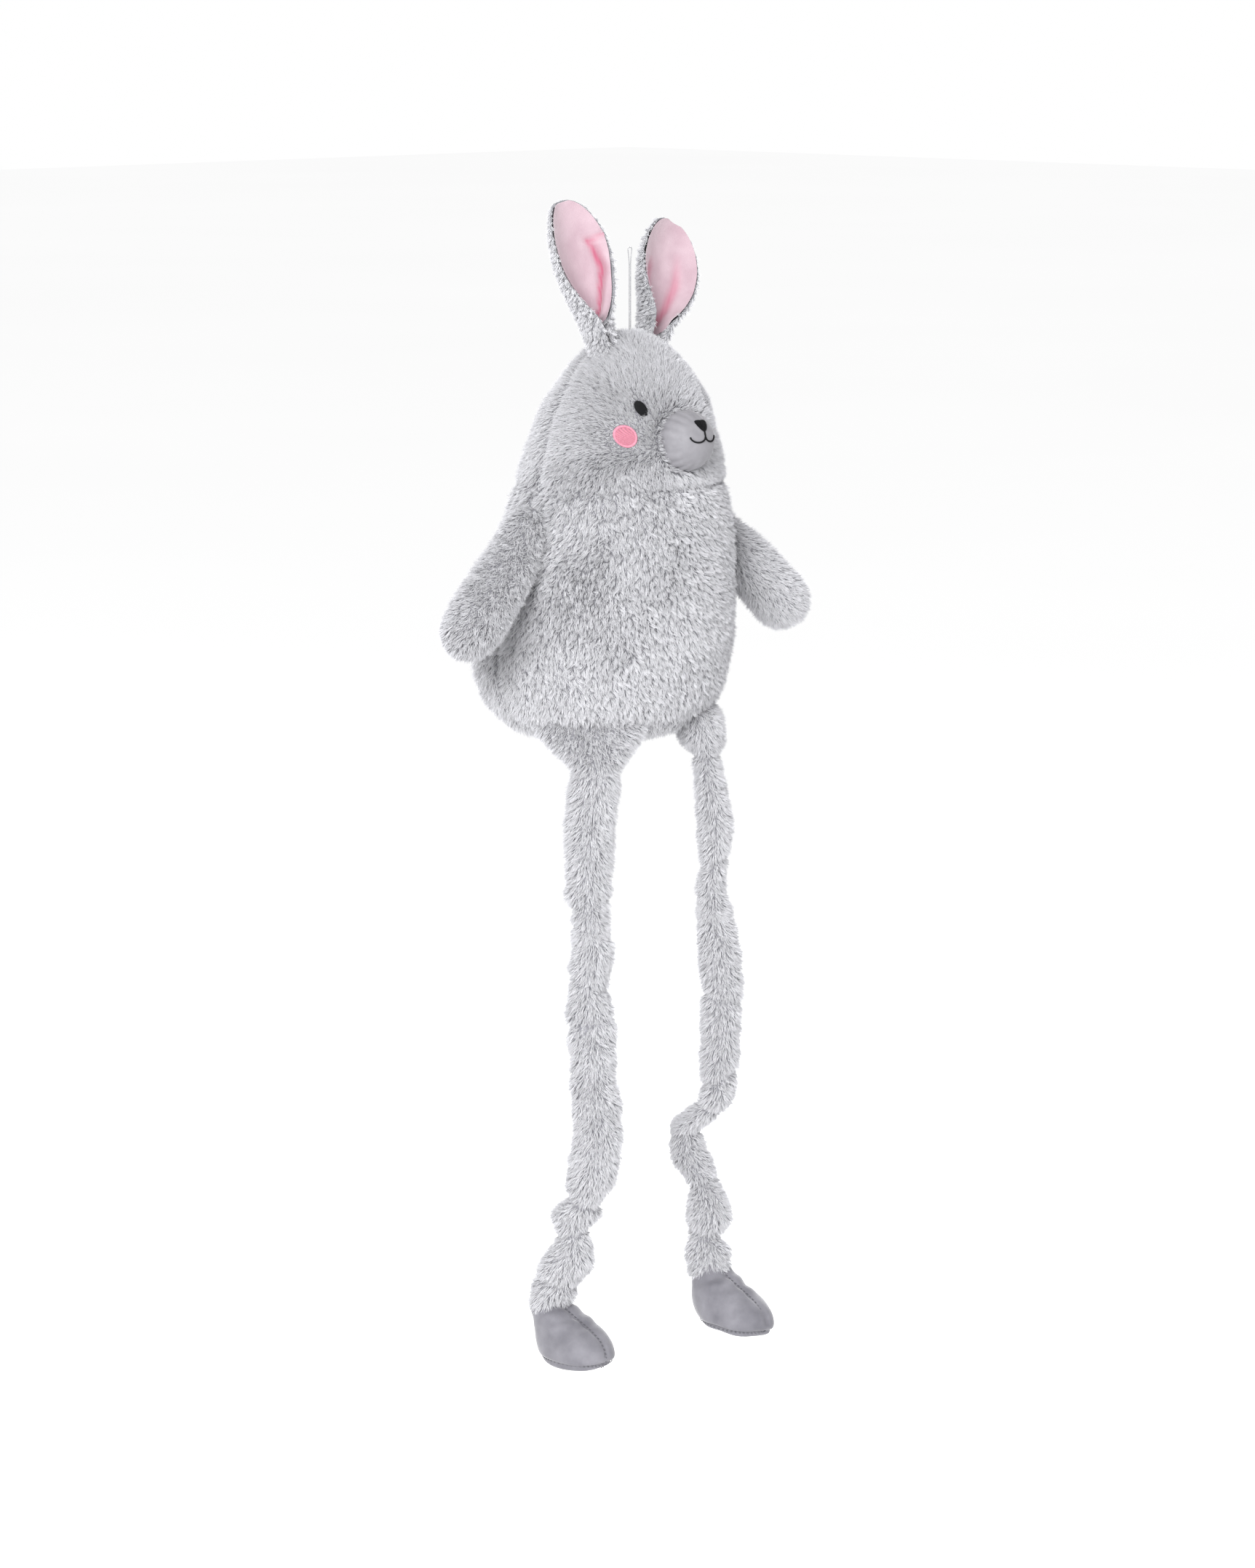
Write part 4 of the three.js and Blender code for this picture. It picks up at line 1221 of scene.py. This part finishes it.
for side, word in ((-1, "right"), (1, "left")):
    hang = np.array(LEG_HANG[word])
    for part, top, bottom, upper, lower, bend in leg_parts:
        zs = np.arange(min(top, hang[0, 0] - 1), max(bottom, hang[-1, 0] + 1), -LEG_STEP)
        dense = smooth_line(hang, 400)
        order = np.argsort(dense[:, 0])
        dense = dense[order]
        x, y, wide, deep = [np.interp(zs, dense[:, 0], dense[:, k]) for k in range(1, 5)]
        angles = np.arange(LEG_COLUMNS) * 2 * math.pi / LEG_COLUMNS
        a, b = np.cos(angles)[None] * wide[:, None], np.sin(angles)[None] * deep[:, None]
        px = side * x[:, None] + a * math.cos(LEG_TURN) - b * math.sin(LEG_TURN)
        py = y[:, None] + a * math.sin(LEG_TURN) + b * math.cos(LEG_TURN)
        pz = np.repeat(zs[:, None], LEG_COLUMNS, axis=1)
        points = np.stack([px.ravel(), py.ravel(), pz.ravel()], axis=1)
        centre = np.stack([side * x, y, zs], axis=1)
        outward = points - np.repeat(centre, LEG_COLUMNS, axis=0)
        outward /= np.linalg.norm(outward, axis=1)[:, None]
        pinch = pinch_at(points, word)
        points = points + outward * (wrinkles(points, 31 + side) - 2.6 * pinch)[:, None]
        way = np.gradient(centre, axis=0)
        way /= np.linalg.norm(way, axis=1)[:, None]
        sideways = np.array([math.cos(LEG_TURN), math.sin(LEG_TURN), 0])
        spread = np.tile(np.outer(np.cos(angles), sideways), (len(zs), 1))
        lay = np.repeat(way, LEG_COLUMNS, axis=0) + outward * 0.15 + spread * 0.5
        pile = 1 - 0.35 * pinch
        leg = closed_tube(f"leg_{word}_{part}_cloth", points, lay, centre, way, len(zs),
                          LEG_COLUMNS, (1, 1), backing, pile)
        leg_pile = grow(f"leg_{word}_{part}_pile", leg, 0, 1.0 * FEWER,
                        seed=170 + side + int(abs(top)), lean=0.66)
        for piece in (leg, leg_pile):
            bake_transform(piece)
        if leg_nodes[part]:
            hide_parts(*[n.format(word) for n in leg_nodes[part]])

# ---------------------------------------------------------------------------------------------
# Feet: smooth velvet booties in a darker grey, filled, with a seam over the instep and a flat
# sole strip under them. They droop, because only the limp leg holds them.
# ---------------------------------------------------------------------------------------------
FOOT_TILT = {"right": -0.05, "left": 0.0}
ANKLE_AT = {"right": (-74.0, 25.0, ANKLE_Z + 4), "left": (74.0, -25.0, ANKLE_Z + 15)}
# the mottle is painted sheen: lighter patches where the velvet nap catches the light
foot_velvet = velvet("foot_velvet", (0.10, 0.098, 0.114), (0.165, 0.162, 0.182), 52.0, 0.4)
seam_thread = rayon("grey_seam_thread", (0.07, 0.07, 0.08), (0.12, 0.12, 0.13), 0.8)
SOLE_SEAM = -68.0
# height below the ankle, toe end, heel end, half width
FOOT_LEVELS = [(-5, -5, 6, 5.5), (-10, -10, 10.5, 10), (-16, -14, 13.5, 13.5),
               (-23, -17, 15.8, 15.3), (-28, -25, 17, 16.5),
               (-34, -38, 17, 18), (-40, -50.5, 16.5, 20.4), (-46, -60, 15.5, 22.3),
               (-52.5, -66, 14, 23.6), (-59, -68.5, 11.5, 24), (-64, -68.5, 9, 23.6),
               (SOLE_SEAM, -67, 6.5, 22.8), (-71.5, -62.5, 2, 20), (-74, -53, -8, 14),
               (-75.3, -39, -22, 6)]
foot_line = smooth_line(FOOT_LEVELS, 76)


def foot_spot(turn, level, lift=0.0):
    """A point on the velvet: turn is 0 at the toe and goes round by the left side."""
    z, toe, heel, wide = level
    c, s = np.cos(turn), np.sin(turn)
    c, s = np.sign(c) * np.abs(c) ** 0.92, np.sign(s) * np.abs(s) ** 0.92
    taper = 1 + 0.10 * c
    return np.stack([(wide * taper + lift) * s, (toe + heel) / 2 + (toe - heel - 2 * lift) / 2 * c,
                     np.full_like(c, z)], axis=-1)


def drooped(points, word):
    """Tilts a foot about the ankle and hangs it on its leg."""
    c, s = math.cos(FOOT_TILT[word]), math.sin(FOOT_TILT[word])
    p = np.asarray(points, float)
    turned = np.stack([p[..., 0], p[..., 1] * c - p[..., 2] * s, p[..., 1] * s + p[..., 2] * c],
                      axis=-1)
    return turned + np.array(ANKLE_AT[word])


for side, word in ((-1, "right"), (1, "left")):
    foot_columns = 72
    turns = np.arange(foot_columns) * 2 * math.pi / foot_columns
    points = np.vstack([foot_spot(turns, level) for level in foot_line])
    middle = np.array([0, -28.0, -50.0])
    outward = points - middle
    outward /= np.linalg.norm(outward, axis=1)[:, None]
    instep = (np.abs(points[:, 0]) < 12) & (points[:, 1] < -10) & (points[:, 2] > -62)
    dent = 2.4 * groove(points[:, 0], 2.0) * instep + 2.4 * groove(points[:, 2] - SOLE_SEAM, 1.7)
    crumple = 0.9 * np.sin(points[:, 2] * 0.42 + points[:, 1] * 0.22 + side) * groove(
        points[:, 2] + 30, 9)
    points = points + outward * (lumps(points, 34, 51 + side) * 1.2 + crumple - dent)[:, None]
    poles = np.array([[0, 0, -3.5], [0, -32, -75.9]])
    foot = cloth_piece(f"foot_{word}_velvet", place(drooped(np.vstack([points, poles]), word)),
                       grid_faces(len(foot_line), foot_columns, len(points), len(points) + 1),
                       foot_velvet)
    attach(foot, f"foot_{word}")
    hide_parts(f"foot_{word}_upper", f"foot_{word}_stuffing", f"foot_{word}_sole")
    sole_level = foot_line[np.argmin(np.abs(foot_line[:, 0] - SOLE_SEAM))]
    around = foot_spot(np.linspace(0, 2 * math.pi, 97), sole_level, -1.4)
    over = np.array([(0.6 * (k % 2), toe + 1.6, z) for k, (z, toe, heel, wide)
                     in enumerate(foot_line[12:58])])
    seams = [(a, b) for line in (around, over) for a, b in zip(line[::2], line[1::2])]
    seam = stitches(f"foot_{word}_seam_stitches", place(drooped(seams, word)), 1.1, seam_thread)
    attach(seam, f"foot_{word}")

# ---------------------------------------------------------------------------------------------
# Studio: a plain white floor far below the hanging toy, a large soft light above and to the
# left of the camera, weaker ones in front and behind, and an even white surround.
# ---------------------------------------------------------------------------------------------
floor_mesh = bpy.data.meshes.new("floor")
FLOOR_REACH = 30.0
FLOOR_Z = -1.45
floor_corners = [(-1, -1), (1, -1), (1, 1), (-1, 1)]
floor_mesh.from_pydata([(a * FLOOR_REACH, b * FLOOR_REACH, FLOOR_Z) for a, b in floor_corners],
                       [], [(0, 1, 2, 3)])
floor = bpy.data.objects.new("floor", floor_mesh)
bpy.context.scene.collection.objects.link(floor)
floor_paint, floor_tree, floor_surface = shader("white_floor", 1.0)
floor_tree.links.new(mottled(floor_tree, 0.4, (0.955, 0.955, 0.955), (0.965, 0.965, 0.965)),
                     floor_surface.inputs["Base Color"])
floor_surface.inputs["Specular IOR Level"].default_value = 0.0
floor_mesh.materials.append(floor_paint)


def soft_light(name, where, aim, size, watts):
    """A round area light, turned to face what it lights."""
    data = bpy.data.lights.new(name, "AREA")
    data.shape = "DISK"
    data.size = size
    data.energy = watts
    lamp = bpy.data.objects.new(name, data)
    lamp.location = where
    lamp.rotation_euler = (Vector(aim) - Vector(where)).to_track_quat("-Z", "Y").to_euler()
    bpy.context.scene.collection.objects.link(lamp)


soft_light("key", (-3.1, -1.8, 1.3), (0, 0, -0.35), 1.8, 230)
soft_light("fill", (0.8, -3.6, 0.2), (0, 0, -0.5), 2.4, 22)
soft_light("back", (2.6, 2.3, 0.8), (0, 0, -0.4), 2.2, 110)
world = bpy.data.worlds.new("surround")
bpy.context.scene.world = world
world.use_nodes = True
world.node_tree.nodes["Background"].inputs["Color"].default_value = (1, 1, 1, 1)
world.node_tree.nodes["Background"].inputs["Strength"].default_value = 1.0
